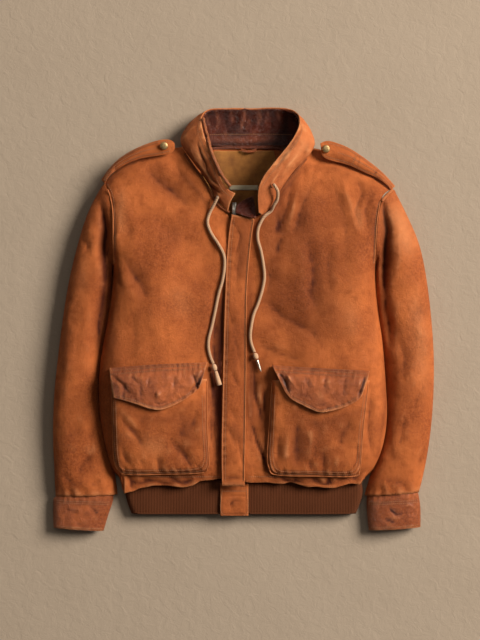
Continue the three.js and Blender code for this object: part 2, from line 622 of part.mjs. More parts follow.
// ---- Shoulder straps ----------------------------------------------------------------------------
// Each strap lies along the shoulder and hangs over the fold, from the armhole to a snap at the neck.
const straps = {
  right: {
    low: [[-256, 247, 41], [-246, 262, 47], [-221, 280, 50], [-188, 293, 52], [-150, 298, 54], [-131, 303, 56], [-126, 310, 56]],
    mid: [[-260, 252, 40], [-244, 274, 48], [-218, 292, 53], [-186, 305, 56], [-152, 313, 57], [-133, 316, 58], [-126, 316, 57]],
    high: [[-263, 254, 36], [-243, 282, 40], [-216, 303, 42], [-184, 318, 44], [-152, 328, 46], [-134, 327, 50], [-127, 321, 54]],
    snap: [-145.8, 314.6],
  },
  left: {
    low: [[272, 235, 42], [263, 246, 48], [240, 260, 49], [220, 267, 52], [199, 278, 53], [175, 285, 54], [150, 291, 56], [143, 300, 57]],
    mid: [[277, 240, 41], [259, 258, 47], [236, 274, 53], [215, 285, 56], [193, 297, 57], [172, 304, 57], [153, 309, 59], [142, 309, 58]],
    high: [[280, 243, 35], [258, 267, 40], [234, 286, 42], [213, 301, 44], [190, 315, 46], [170, 322, 47], [153, 326, 50], [141, 320, 54]],
    snap: [151, 309],
  },
};
for (const [name, { low, mid, high, snap }] of Object.entries(straps)) {
  const lines = [low, mid, high].map(curveThrough);
  const rows = evenly(10).map((s) => {
    const [a, m, b] = lines.map((line) => line.getPoint(s));
    const control = m.clone().multiplyScalar(2).sub(a.clone().add(b).multiplyScalar(0.5));
    return evenly(4).map((t) => new THREE.QuadraticBezierCurve3(a, control, b).getPoint(t));
  });
  const side = name === "right" ? -1 : 1;
  add(`shoulder_strap_${name}`, wall(rows, 2.4, { side: -side }), tanLeather);
  const cap = new THREE.LatheGeometry(
    [[0, 0], [snapRadius, 0], [snapRadius, 1], [snapRadius * 0.86, 2.3], [snapRadius * 0.5, 3], [0, 3.2]].map(([r, h]) => new THREE.Vector2(r, h)), 20);
  const snapMesh = add(`snap_${name}`, cap, brass);
  snapMesh.rotation.set(PI / 2 + 0.12, 0, 0);
  snapMesh.position.set(snap[0], snap[1], 60);
}

// ---- Drawcord -----------------------------------------------------------------------------------
// The cord leaves the neck seam on each side and its two ends lie down the front.
const onFront = (x, y, lift = 5.6) => [x, y, frontHeight(x, y) + lift];
const cords = {
  right: [
    [-47, 221, 72], [-53, 209, 67], onFront(-62, 192), onFront(-66, 174), onFront(-59.5, 155),
    onFront(-46, 134.5), onFront(-36.5, 115, 8.5), onFront(-35, 95.5, 10), onFront(-38.5, 70, 8.5),
    onFront(-45.7, 44), onFront(-52, 13.5), onFront(-58.3, -16), onFront(-63.8, -38.5),
    onFront(-64.4, -56), onFront(-60.7, -72.5), onFront(-56, -84),
  ],
  left: [
    [56, 239, 89], [62, 228, 85], [61, 215, 76], [55, 205, 70], onFront(50, 195.5, 8.5),
    onFront(38.5, 186, 6.5), onFront(31.5, 175), onFront(26.5, 162), onFront(26, 144),
    onFront(31.5, 123.5), onFront(36, 99.5), onFront(38.3, 75.5), onFront(34.8, 53),
    onFront(26.8, 26.5), onFront(18.3, 5), onFront(13, -22.5), onFront(12.5, -38.5),
    onFront(15, -50.5), onFront(20, -63.5),
  ],
};

function rod(points, radius, steps, sides = 8) {
  const circle = new THREE.Shape();
  circle.moveTo(radius, 0);
  for (let k = 1; k < sides; k++) {
    const a = (2 * PI * k) / sides;
    circle.lineTo(radius * cos(a), radius * sin(a));
  }
  const extrudePath = curveThrough(points);
  return new THREE.ExtrudeGeometry(circle, { steps, extrudePath, bevelEnabled: false });
}
add("cord_right", rod(cords.right, cordRadius, 22), cotton);
add("cord_left", rod(cords.left, cordRadius, 24), cotton);

// A turned piece on the cord, from one point to another: profile is [share of length, radius].
function turned(name, from, to, profile, material) {
  const axis = vec(...to).sub(vec(...from));
  const length = axis.length();
  const outline = profile.map(([share, radius]) => new THREE.Vector2(radius, share * length));
  const mesh = add(name, new THREE.LatheGeometry(outline, 10), material);
  mesh.position.set(...from);
  mesh.quaternion.setFromUnitVectors(vec(0, 1, 0), axis.normalize());
}
const knotProfile = [[0, 0], [0.04, 3], [0.3, 5.2], [0.7, 5.2], [0.96, 3.4], [1, 0]];
const brushProfile = [[0, 0], [0.01, 3.4], [0.4, 4.4], [0.99, 5], [1, 0]];
const tipProfile = [[0, 0], [0.01, 3.2], [0.3, 3], [0.8, 2], [0.99, 1.1], [1, 0]];
turned("cord_knot_right", onFront(-55.4, -85, 8), onFront(-51.6, -97, 8), knotProfile, cotton);
turned("cord_tassel_right", onFront(-51.4, -97.8, 8), onFront(-44, -124, 8), brushProfile, cotton);
turned("cord_knot_left", onFront(20.4, -64.6, 7.5), onFront(24, -76, 7.5), knotProfile, cotton);
turned("cord_tip_left", onFront(24.3, -77, 5.6), onFront(32, -99, 5), tipProfile, zipMetal);

export default jacket;
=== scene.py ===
import json
import math

import bmesh
import bpy
import numpy as np
from mathutils import Matrix, Vector, noise
from mathutils.bvhtree import BVHTree
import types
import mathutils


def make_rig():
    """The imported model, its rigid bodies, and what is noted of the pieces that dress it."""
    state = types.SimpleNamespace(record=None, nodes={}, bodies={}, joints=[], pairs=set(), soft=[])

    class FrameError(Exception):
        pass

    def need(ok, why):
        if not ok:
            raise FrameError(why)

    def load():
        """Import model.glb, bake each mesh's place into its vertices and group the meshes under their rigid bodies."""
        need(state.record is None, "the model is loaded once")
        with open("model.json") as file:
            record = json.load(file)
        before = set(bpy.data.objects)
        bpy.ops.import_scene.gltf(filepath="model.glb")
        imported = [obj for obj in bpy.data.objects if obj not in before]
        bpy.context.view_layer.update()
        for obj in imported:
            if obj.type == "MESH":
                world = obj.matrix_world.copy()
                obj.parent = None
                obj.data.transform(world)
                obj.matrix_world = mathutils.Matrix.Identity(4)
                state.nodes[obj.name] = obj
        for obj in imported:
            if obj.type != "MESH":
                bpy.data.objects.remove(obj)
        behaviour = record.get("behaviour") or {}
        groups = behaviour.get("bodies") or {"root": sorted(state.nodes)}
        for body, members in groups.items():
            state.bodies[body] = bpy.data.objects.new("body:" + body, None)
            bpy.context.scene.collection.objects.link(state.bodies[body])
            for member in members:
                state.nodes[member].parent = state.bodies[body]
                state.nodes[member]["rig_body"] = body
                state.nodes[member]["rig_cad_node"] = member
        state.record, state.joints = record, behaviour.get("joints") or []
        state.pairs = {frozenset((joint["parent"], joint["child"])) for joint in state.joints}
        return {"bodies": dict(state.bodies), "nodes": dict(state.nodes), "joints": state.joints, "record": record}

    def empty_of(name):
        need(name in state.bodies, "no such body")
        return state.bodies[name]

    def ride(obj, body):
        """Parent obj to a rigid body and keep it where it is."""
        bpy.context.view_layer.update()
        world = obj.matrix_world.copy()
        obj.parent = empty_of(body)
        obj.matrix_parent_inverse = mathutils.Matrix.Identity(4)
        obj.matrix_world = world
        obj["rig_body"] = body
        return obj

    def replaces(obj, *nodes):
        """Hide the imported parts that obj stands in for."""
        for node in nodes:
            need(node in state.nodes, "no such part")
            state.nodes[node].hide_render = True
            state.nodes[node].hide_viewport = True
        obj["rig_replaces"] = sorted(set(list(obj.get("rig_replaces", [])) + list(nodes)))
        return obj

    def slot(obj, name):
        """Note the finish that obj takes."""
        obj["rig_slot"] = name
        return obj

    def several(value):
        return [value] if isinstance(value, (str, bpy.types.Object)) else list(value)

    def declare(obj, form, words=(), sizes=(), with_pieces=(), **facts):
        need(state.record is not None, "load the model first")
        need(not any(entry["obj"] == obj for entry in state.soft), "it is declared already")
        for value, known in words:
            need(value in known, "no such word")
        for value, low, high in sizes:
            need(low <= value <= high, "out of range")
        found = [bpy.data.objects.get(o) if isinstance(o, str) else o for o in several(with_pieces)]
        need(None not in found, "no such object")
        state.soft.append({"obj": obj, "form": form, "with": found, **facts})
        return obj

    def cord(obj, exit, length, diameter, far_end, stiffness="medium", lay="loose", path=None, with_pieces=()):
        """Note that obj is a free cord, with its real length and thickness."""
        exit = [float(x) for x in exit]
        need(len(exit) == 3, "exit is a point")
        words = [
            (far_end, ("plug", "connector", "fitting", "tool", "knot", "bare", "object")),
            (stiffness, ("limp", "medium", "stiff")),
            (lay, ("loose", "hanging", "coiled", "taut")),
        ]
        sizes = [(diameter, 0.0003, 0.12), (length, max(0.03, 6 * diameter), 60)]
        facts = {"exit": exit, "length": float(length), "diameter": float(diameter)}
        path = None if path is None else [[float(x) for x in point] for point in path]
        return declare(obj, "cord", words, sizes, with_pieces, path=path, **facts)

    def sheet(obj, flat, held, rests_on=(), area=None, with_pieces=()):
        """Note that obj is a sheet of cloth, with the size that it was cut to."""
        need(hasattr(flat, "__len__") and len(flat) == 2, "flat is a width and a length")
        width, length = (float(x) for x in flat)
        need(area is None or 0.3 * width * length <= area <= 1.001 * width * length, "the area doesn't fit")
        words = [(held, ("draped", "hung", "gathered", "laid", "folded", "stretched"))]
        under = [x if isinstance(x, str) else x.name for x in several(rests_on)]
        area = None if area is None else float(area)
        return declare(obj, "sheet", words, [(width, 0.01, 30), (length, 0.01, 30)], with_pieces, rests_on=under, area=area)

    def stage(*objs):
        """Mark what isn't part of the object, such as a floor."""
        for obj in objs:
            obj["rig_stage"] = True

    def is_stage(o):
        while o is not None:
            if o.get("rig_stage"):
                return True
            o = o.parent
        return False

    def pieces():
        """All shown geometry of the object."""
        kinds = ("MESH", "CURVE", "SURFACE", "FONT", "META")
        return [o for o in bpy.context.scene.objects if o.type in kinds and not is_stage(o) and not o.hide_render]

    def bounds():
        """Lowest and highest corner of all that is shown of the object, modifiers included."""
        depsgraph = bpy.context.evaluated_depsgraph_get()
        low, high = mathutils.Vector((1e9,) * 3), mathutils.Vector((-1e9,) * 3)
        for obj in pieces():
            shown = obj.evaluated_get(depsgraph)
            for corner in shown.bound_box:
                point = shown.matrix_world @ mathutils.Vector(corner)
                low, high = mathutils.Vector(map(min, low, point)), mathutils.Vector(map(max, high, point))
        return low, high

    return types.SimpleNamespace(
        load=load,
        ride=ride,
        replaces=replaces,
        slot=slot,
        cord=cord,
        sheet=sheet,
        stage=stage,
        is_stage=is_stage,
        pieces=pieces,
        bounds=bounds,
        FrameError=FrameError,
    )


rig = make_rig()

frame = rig.load()
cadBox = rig.bounds()
mm = 0.001


def newObject(name, data):
    made = bpy.data.objects.new(name, data)
    bpy.context.collection.objects.link(made)
    return made


# camera and light
view = {
    "centre": (-6.5, -4.2),    # what the camera stands over, mm
    "height": 3000,            # a long lens, high above the table
    "shown": 1184,             # how much of the table fits in the frame from top to bottom, mm
    "level": 30,               # the height that this is true at
    "sensor": 24,
    "reach": 20,               # how far the camera sees, m
}
lights = {
    "key": {"from": (6.2, 2.9, 4.8), "size": 4.2, "power": 1230, "colour": (1.0, 0.94, 0.86)},
    "fill": {"from": (0.3, 2.0, 5.0), "size": 3.0, "power": 22, "colour": (1.0, 0.96, 0.9)},
    "room": {"colour": (1.0, 0.95, 0.88), "strength": 0.085},
}


def setCamera():
    data = bpy.data.cameras.new("camera")
    data.sensor_fit = "VERTICAL"
    data.sensor_height = view["sensor"]
    data.lens = view["sensor"] * (view["height"] - view["level"]) / view["shown"]
    data.clip_end = view["reach"]
    camera = newObject("camera", data)
    camera.location = (view["centre"][0] * mm, view["centre"][1] * mm, view["height"] * mm)
    bpy.context.scene.camera = camera


def setLights():
    for name in ("key", "fill"):
        choice = lights[name]
        data = bpy.data.lights.new(name, "AREA")
        data.shape = "DISK"
        data.size = choice["size"]
        data.energy = choice["power"]
        data.color = choice["colour"]
        lamp = newObject(name, data)
        lamp.location = choice["from"]
        lamp.rotation_euler = (-Vector(choice["from"])).to_track_quat("-Z", "Y").to_euler()
    world = bpy.data.worlds.new("room")
    bpy.context.scene.world = world
    world.use_nodes = True
    background = world.node_tree.nodes["Background"]
    background.inputs["Color"].default_value = (*lights["room"]["colour"], 1)
    background.inputs["Strength"].default_value = lights["room"]["strength"]


setCamera()
setLights()
bpy.context.scene.view_settings.view_transform = "Standard"
print("camera and lights set")


# finishes: what all of them use
def newGroup(name, inputs, outputs):
    group = bpy.data.node_groups.new(name, "ShaderNodeTree")
    for label, kind, value in inputs:
        socket = group.interface.new_socket(name=label, in_out="INPUT", socket_type=kind)
        if value is not None:
            socket.default_value = value
    for label in outputs:
        group.interface.new_socket(name=label, in_out="OUTPUT", socket_type="NodeSocketFloat")
    return group, group.nodes.new("NodeGroupInput"), group.nodes.new("NodeGroupOutput")


def setInputs(made, values):
    for label, value in values.items():
        made.inputs[label].default_value = value


def feed(tree, socket, value):
    # a socket takes a number, a colour or what another node puts out
    if isinstance(value, (int, float)):
        socket.default_value = value
    elif isinstance(value, tuple):
        socket.default_value = (*value, 1)
    else:
        tree.links.new(value, socket)


def maths(tree, operation, a, b, clamp=False):
    made = tree.nodes.new("ShaderNodeMath")
    made.operation = operation
    made.use_clamp = clamp
    feed(tree, made.inputs[0], a)
    feed(tree, made.inputs[1], b)
    return made.outputs[0]


def times(tree, a, b, clamp=False):
    return maths(tree, "MULTIPLY", a, b, clamp)


def mixColour(tree, factor, a, b, blend="MIX"):
    made = tree.nodes.new("ShaderNodeMix")
    made.data_type = "RGBA"
    made.blend_type = blend
    for slot, value in ((0, factor), (6, a), (7, b)):    # where a colour mix keeps its sockets
        feed(tree, made.inputs[slot], value)
    return made.outputs[2]


def ramp(tree, value, low, high):
    made = tree.nodes.new("ShaderNodeMapRange")
    made.interpolation_type = "SMOOTHSTEP"
    setInputs(made, {"From Min": low, "From Max": high})
    tree.links.new(value, made.inputs["Value"])
    return made.outputs["Result"]


def noiseOf(tree, vector, scale, detail=3.0, roughness=0.55, distortion=0.0):
    made = tree.nodes.new("ShaderNodeTexNoise")
    setInputs(made, {"Detail": detail, "Roughness": roughness, "Distortion": distortion})
    tree.links.new(vector, made.inputs["Vector"])
    feed(tree, made.inputs["Scale"], scale)
    return made.outputs["Fac"]


def bands(tree, place, direction, pitch, distortion):
    # even bands, pitch mm apart
    made = tree.nodes.new("ShaderNodeTexWave")
    made.wave_type = "BANDS"
    made.bands_direction = direction
    made.wave_profile = "SIN"
    bandsPerTurn = 20    # a scale of 1 gives this many bands in 2 pi metres
    setInputs(made, {"Scale": 2 * math.pi / (bandsPerTurn * pitch * mm), "Distortion": distortion})
    tree.links.new(place, made.inputs["Vector"])
    return made


def hideMottle():
    # cloudy patches, small blotches and the nap of the skin
    group, start, end = newGroup(
        "hideMottle",
        [("Vector", "NodeSocketVector", None), ("Cloud", "NodeSocketFloat", 14.0),
         ("Blotch", "NodeSocketFloat", 70.0), ("Nap", "NodeSocketFloat", 420.0)],
        ["Cloud", "Blotch", "Nap"],
    )
    for label, detail, rough in (("Cloud", 2.0, 0.5), ("Blotch", 4.0, 0.62), ("Nap", 3.0, 0.7)):
        value = noiseOf(group, start.outputs["Vector"], start.outputs[label], detail, rough)
        group.links.new(value, end.inputs[label])
    return group


def grainHeight():
    # pebbled cells with fine wrinkles between them
    pebbleShare = 0.25
    group, start, end = newGroup(
        "grainHeight",
        [("Vector", "NodeSocketVector", None), ("Pebble", "NodeSocketFloat", 650.0),
         ("Wrinkle", "NodeSocketFloat", 90.0)],
        ["Height"],
    )
    cell = group.nodes.new("ShaderNodeTexVoronoi")
    cell.feature = "DISTANCE_TO_EDGE"
    group.links.new(start.outputs["Vector"], cell.inputs["Vector"])
    group.links.new(start.outputs["Pebble"], cell.inputs["Scale"])
    pebble = ramp(group, cell.outputs["Distance"], 0.0, 0.25)
    wrinkle = noiseOf(group, start.outputs["Vector"], start.outputs["Wrinkle"], 5.0, 0.65, 0.8)
    group.links.new(maths(group, "ADD", times(group, pebble, pebbleShare), wrinkle), end.inputs["Height"])
    return group


mottleGroup = hideMottle()
grainGroup = grainHeight()


def placed(tree, group, place, **values):
    made = tree.nodes.new("ShaderNodeGroup")
    made.node_tree = group
    setInputs(made, values)
    tree.links.new(place, made.inputs["Vector"])
    return made.outputs


def newMaterial(name):
    # a material, its tree, its shader, and where a point lies on the object
    material = bpy.data.materials.new(name)
    material.use_nodes = True
    tree = material.node_tree
    shader = tree.nodes["Principled BSDF"]
    place = tree.nodes.new("ShaderNodeTexCoord").outputs["Object"]
    return material, tree, shader, place


def attribute(tree, name):
    made = tree.nodes.new("ShaderNodeAttribute")
    made.attribute_name = name
    return made.outputs["Fac"]


def bumped(tree, shader, height, distance):
    made = tree.nodes.new("ShaderNodeBump")
    setInputs(made, {"Strength": 1.0, "Distance": distance * mm})
    tree.links.new(height, made.inputs["Height"])
    tree.links.new(made.outputs["Normal"], shader.inputs["Normal"])


# leather
def leatherMaterial(name, look):
    material, tree, shader, place = newMaterial(name)
    mottle = placed(tree, mottleGroup, place, Cloud=look["cloud"], Blotch=look["blotch"], Nap=look["nap"])
    colour = mixColour(tree, ramp(tree, mottle["Cloud"], *look["cloudAt"]), look["dark"], look["light"])
    for patch, amount, tint in (("Blotch", "blotching", "dark"), ("Nap", "napping", "light")):
        share = times(tree, ramp(tree, mottle[patch], *look[patch.lower() + "At"]), look[amount])
        colour = mixColour(tree, share, colour, look[tint])
    # painted shade and soiling darken the colour, painted highlights and rubbing pale it
    for mask in ("soil", "rub"):
        colour = mixColour(tree, attribute(tree, mask), colour, look[mask])
    tree.links.new(colour, shader.inputs["Base Color"])
    shine = times(tree, ramp(tree, mottle["Blotch"], *look["shineAt"]), look["roughSpread"])
    polish = times(tree, attribute(tree, "rub"), look["polish"])
    rough = maths(tree, "SUBTRACT", maths(tree, "ADD", shine, look["rough"]), polish, True)
    tree.links.new(rough, shader.inputs["Roughness"])
    grain = placed(tree, grainGroup, place, Pebble=look["pebble"], Wrinkle=look["wrinkle"])
    bumped(tree, shader, grain["Height"], look["bump"])
    setInputs(shader, {
        "Specular IOR Level": look["specular"], "Sheen Weight": look["sheen"], "Sheen Roughness": 0.5,
        "Sheen Tint": (1.0, 0.72, 0.5, 1), "Coat Weight": look["coat"], "Coat Roughness": 0.28,
    })
    return material


tanLook = {
    "light": (0.560, 0.147, 0.035), "dark": (0.275, 0.060, 0.013),
    # the dark that painted shade and soiling run towards, and the pale of painted highlights and rubbing
    "soil": (0.080, 0.014, 0.004), "rub": (0.70, 0.265, 0.100),
    "cloud": 12.0, "blotch": 60.0, "nap": 240.0, "blotching": 0.75, "napping": 0.55,
    "cloudAt": (0.32, 0.68), "blotchAt": (0.42, 0.72), "napAt": (0.3, 0.7), "shineAt": (0.35, 0.7),
    "rough": 0.52, "roughSpread": 0.2, "polish": 0.1, "pebble": 700.0, "wrinkle": 170.0, "bump": 1.5,
    "specular": 0.18, "sheen": 0.01, "coat": 0.0,
}
rubbedLook = dict(
    tanLook, light=(0.53, 0.135, 0.036), dark=(0.225, 0.048, 0.012), soil=(0.07, 0.014, 0.005),
    rough=0.36, blotching=0.9, bump=2.6, wrinkle=120.0, specular=0.36, coat=0.12,
)
# the facing's pale rub colour is mostly used for painted glossy highlights on its wrinkles
facingLook = dict(
    tanLook, light=(0.150, 0.026, 0.011), dark=(0.034, 0.006, 0.004), soil=(0.008, 0.003, 0.002),
    rub=(0.40, 0.135, 0.075), rough=0.22, roughSpread=0.22, bump=2.8, wrinkle=110.0,
    specular=0.32, sheen=0.0, coat=0.08, cloud=24.0,
)
paleLook = dict(tanLook, light=(0.60, 0.175, 0.052), dark=(0.38, 0.096, 0.027), rub=(0.72, 0.29, 0.11))

tanLeather = leatherMaterial("tanLeather", tanLook)
rubbedLeather = leatherMaterial("rubbedLeather", rubbedLook)
facingLeather = leatherMaterial("facingLeather", facingLook)
collarLeather = leatherMaterial("collarLeather", paleLook)


# cloth and metal
knitLook = {
    # the gap colour is painted shade down between the ribs
    "yarn": (0.100, 0.030, 0.011), "gap": (0.070, 0.020, 0.0075), "fluff": (0.140, 0.045, 0.018),
    "pitch": 2.9, "waver": 0.6, "bump": 0.4,
    "fuzz": (900.0, 4.0, 0.7), "fuzzHeight": 1.6,
}
twillLook = {
    "thread": (0.48, 0.185, 0.030), "deep": (0.27, 0.092, 0.014),
    "pitch": 1.1, "waver": 0.4, "bump": 0.35,
    "cloud": (40.0, 4.0, 0.6), "cloudHeight": 3.0,
}


def ribKnitMaterial(look):
    material, tree, shader, place = newMaterial("ribKnit")
    wave = bands(tree, place, "X", look["pitch"], look["waver"])
    setInputs(wave, {"Detail": 1.0, "Detail Scale": 2.0})
    fuzz = noiseOf(tree, place, *look["fuzz"])
    colour = mixColour(tree, ramp(tree, wave.outputs["Fac"], 0.1, 0.8), look["gap"], look["yarn"])
    colour = mixColour(tree, times(tree, ramp(tree, fuzz, 0.45, 0.75), 0.5), colour, look["fluff"])
    tree.links.new(colour, shader.inputs["Base Color"])
    height = maths(tree, "ADD", wave.outputs["Fac"], times(tree, fuzz, look["fuzzHeight"]))
    bumped(tree, shader, height, look["bump"])
    setInputs(shader, {
        "Roughness": 0.95, "Specular IOR Level": 0.1,
        "Sheen Weight": 0.03, "Sheen Roughness": 0.6, "Sheen Tint": (0.9, 0.5, 0.3, 1),
    })
    return material


def twillMaterial(look):
    material, tree, shader, place = newMaterial("twillLining")
    wave = bands(tree, place, "DIAGONAL", look["pitch"], look["waver"])
    cloud = noiseOf(tree, place, *look["cloud"])
    colour = mixColour(tree, ramp(tree, cloud, 0.3, 0.7), look["deep"], look["thread"])
    colour = mixColour(tree, 0.2, colour, wave.outputs["Color"], "MULTIPLY")
    tree.links.new(colour, shader.inputs["Base Color"])
    height = maths(tree, "ADD", wave.outputs["Fac"], times(tree, cloud, look["cloudHeight"]))
    bumped(tree, shader, height, look["bump"])
    setInputs(shader, {"Roughness": 0.85, "Sheen Weight": 0.15})
    return material


def wovenMaterial(name, light, dark, scale):
    material, tree, shader, place = newMaterial(name)
    fine = noiseOf(tree, place, scale, 3.0, 0.7)
    colour = mixColour(tree, ramp(tree, fine, 0.3, 0.7), dark, light)
    shade = tuple(part * 0.3 for part in dark)    # painted shade down between the strands
    groove = times(tree, attribute(tree, "groove"), 0.9, True)
    tree.links.new(mixColour(tree, groove, colour, shade), shader.inputs["Base Color"])
    bumped(tree, shader, fine, 0.3)
    setInputs(shader, {"Roughness": 0.9, "Sheen Weight": 0.2})
    return material


def metalMaterial(name, bright, tarnish, rough):
    material, tree, shader, place = newMaterial(name)
    spots = noiseOf(tree, place, 380.0, 4.0, 0.6)
    colour = mixColour(tree, ramp(tree, spots, 0.42, 0.68), bright, tarnish)
    tree.links.new(colour, shader.inputs["Base Color"])
    tree.links.new(maths(tree, "ADD", times(tree, spots, 0.25), rough), shader.inputs["Roughness"])
    shader.inputs["Metallic"].default_value = 1.0
    bumped(tree, shader, spots, 0.08)
    return material


ribKnit = ribKnitMaterial(knitLook)
twillLining = twillMaterial(twillLook)
labelCloth = wovenMaterial("labelCloth", (0.70, 0.60, 0.40), (0.52, 0.42, 0.27), 1500.0)
braidCotton = wovenMaterial("braidCotton", (0.66, 0.40, 0.235), (0.44, 0.25, 0.13), 700.0)
seamThread = wovenMaterial("seamThread", (0.50, 0.21, 0.08), (0.30, 0.11, 0.04), 2500.0)
agedBrass = metalMaterial("agedBrass", (0.62, 0.43, 0.20), (0.30, 0.19, 0.08), 0.36)
zipMetal = metalMaterial("zipMetal", (0.62, 0.58, 0.50), (0.25, 0.21, 0.16), 0.25)
print("finishes made")


# shaping tools
def finished(name, mesh, material, slot, *nodes):
    # one finished piece: its material, its record slot, the body it rides on and what it stands for
    piece = newObject(name, mesh)
    mesh.materials.clear()
    mesh.materials.append(material)
    mesh.polygons.foreach_set("use_smooth", [True] * len(mesh.polygons))
    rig.ride(piece, "root")
    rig.slot(piece, slot)
    if nodes:
        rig.replaces(piece, *nodes)
    return piece


def meshOf(holder):
    # what a live object comes to, with the object itself thrown away
    mesh = bpy.data.meshes.new_from_object(holder.evaluated_get(bpy.context.evaluated_depsgraph_get()))
    bpy.data.objects.remove(holder)
    return mesh


refining = {"merge": 0.01, "flatPair": 80, "flatQuad": 85}    # mm, degrees, degrees


def refined(nodeName, levels=3, sharp=50):
    # a merged copy of a panel's solid, in quads, rounded to a fine surface with its cut edges kept
    shape = bmesh.new()
    shape.from_mesh(frame["nodes"][nodeName].data)
    bmesh.ops.remove_doubles(shape, verts=shape.verts, dist=refining["merge"] * mm)
    bmesh.ops.join_triangles(
        shape, faces=shape.faces, angle_face_threshold=math.radians(refining["flatPair"]),
        angle_shape_threshold=math.radians(refining["flatQuad"]),
    )
    crease = shape.edges.layers.float.new("crease_edge")
    corner = shape.verts.layers.float.new("crease_vert")
    for edge in shape.edges:
        if len(edge.link_faces) == 2 and edge.calc_face_angle(0) > math.radians(sharp):
            edge[crease] = 1.0
    for vert in shape.verts:
        if sum(edge[crease] > 0.5 for edge in vert.link_edges) > 2:
            vert[corner] = 1.0
    rough = bpy.data.meshes.new(nodeName)
    shape.to_mesh(rough)
    shape.free()
    holder = newObject("holder", rough)
    rounding = holder.modifiers.new("round", "SUBSURF")
    rounding.levels = rounding.render_levels = levels
    rounding.use_limit_surface = False
    return meshOf(holder)


def pointsOf(mesh):
    flat = np.empty(len(mesh.vertices) * 3)
    mesh.vertices.foreach_get("co", flat)
    return flat.reshape(-1, 3) / mm


def putPoints(mesh, points):
    mesh.vertices.foreach_set("co", (points * mm).ravel())
    mesh.update()


def smoothStep(value, low, high):
    t = np.clip((value - low) / (high - low), 0, 1)
    return t * t * (3 - 2 * t)


def lengthOf(path):
    return sum(math.dist(a, b) for a, b in zip(path, path[1:]))


def nearPath(xy, path):
    # distance from a broken line, and the share of the line's length at the nearest place
    best = np.full(len(xy), np.inf)
    share = np.zeros(len(xy))
    done, total = 0.0, lengthOf(path)
    for a, b in zip(path, path[1:]):
        length = math.dist(a, b)
        a, b = np.array(a), np.array(b)
        t = np.clip(((xy - a) @ (b - a)) / max(length ** 2, 1e-9), 0, 1)
        off = np.hypot(*(xy - a - t[:, None] * (b - a)).T)
        closer = off < best
        best[closer] = off[closer]
        share[closer] = (done + t[closer] * length) / total
        done += length
    return best, share


foldForm = {
    "endFade": 0.85, "fadePower": 2.5,    # how much a fold dies away at its ends, and how late
    "sharp": 1.4,                         # how steeply a sharp fold's sides fall
    "core": 0.55, "corePower": 1.4,       # a soft fold has a narrower hollow inside a wide one
}


def foldField(xy, folds, widen=1.0):
    # how far the folds sink the surface: soft folds are round, sharp ones have a crease at the bottom
    depth = np.zeros(len(xy))
    for path, wide, deep, *kind in folds:
        wide = wide if kind else wide * widen
        off, share = nearPath(xy, path)
        fade = 1 - np.abs(2 * share - 1) ** foldForm["fadePower"] * foldForm["endFade"]
        if kind:
            form = np.exp(-off / wide * foldForm["sharp"])
        else:
            core = np.exp(-((off / wide / foldForm["core"]) ** foldForm["corePower"]))
            form = 0.5 * np.exp(-((off / wide) ** 2)) + 0.5 * core
        depth += deep * fade * form
    return depth


def noiseField(points, scale, seed, stretch=(1, 1, 1)):
    a, b, c = stretch
    places = ((x * a / scale + seed, y * b / scale, z * c / scale) for x, y, z in points)
    return np.array([noise.noise(place) for place in places])


def addMask(mesh, name, values):
    layer = mesh.attributes.get(name) or mesh.attributes.new(name, "FLOAT", "POINT")
    layer.data.foreach_set("value", np.clip(values, 0, 1))


def bumpy(points, bumps):
    # bumps: [size across, height, seed, stretch]
    return sum(height * noiseField(points, size, seed, stretch) for size, height, seed, stretch in bumps)


plainLook = {
    "press": 1.3,     # how hard all the folds are pressed in
    "widen": 1.0,     # how much wider the soft ones are than they are listed
    "inset": 0.0,     # how far the whole piece is sunk, mm
    "drift": 4.0,     # how far the folds stray from their paths, mm
    "folds": [],      # path, width, depth, and "sharp" where there is a crease at the bottom
    "bumps": [],      # size across, height, seed, stretch
    "puckers": [],    # path, reach to each side, pitch, height
    "soiled": [], "rubbed": [],                     # painted shade and soiling, painted highlights and rubbing: path, width, strength
    "rub": 0.7, "rubAt": (0.05, 0.42),              # strength, and the bend that it runs between, mm
    # how strongly the hollows are darkened with painted shade, and the bend that it runs between
    "soil": 0.7, "soilAt": (0.03, 0.32),
    "spread": 2,                                    # how far the wear and the painted shade spread over the surface
}
wander = {"size": 38, "seeds": (12.5, 31.5)}
# painted shade in the hollows of the folds, by their depth
foldShade = {"perDepth": 0.045, "deepest": 6}
patches = {"least": 0.65, "more": 0.7, "size": 17, "seed": 4.4}
gather = {
    "sway": 2.2, "swayLength": 23, "slant": 9,      # how the pitch varies, and how the gathers lean
    "least": 0.65, "more": 0.6, "size": 31, "seed": 7.7,
}


def wearAndShadeMasks(mesh, points, look):
    # raised folds and cut edges rub pale, and the hollows are darkened with painted shade
    pairs = np.empty(len(mesh.edges) * 2, dtype=np.int64)
    mesh.edges.foreach_get("vertices", pairs)
    pairs = pairs.reshape(-1, 2)
    normals = np.empty(len(points) * 3)
    mesh.vertex_normals.foreach_get("vector", normals)
    normals = normals.reshape(-1, 3)
    count = np.bincount(pairs.ravel(), minlength=len(points))

    def neighbours(values):
        total = np.zeros_like(values)
        np.add.at(total, pairs[:, 0], values[pairs[:, 1]])
        np.add.at(total, pairs[:, 1], values[pairs[:, 0]])
        return total / (count if values.ndim == 1 else count[:, None])

    bend = ((points - neighbours(points)) * normals).sum(1)
    for _ in range(look["spread"]):
        bend = 0.5 * bend + 0.5 * neighbours(bend)
    patchy = patches["least"] + patches["more"] * noiseField(points, patches["size"], patches["seed"])
    rub = smoothStep(bend, *look["rubAt"]) * patchy
    soil = smoothStep(-bend, *look["soilAt"]) * patchy
    return rub * look["rub"], soil * look["soil"]


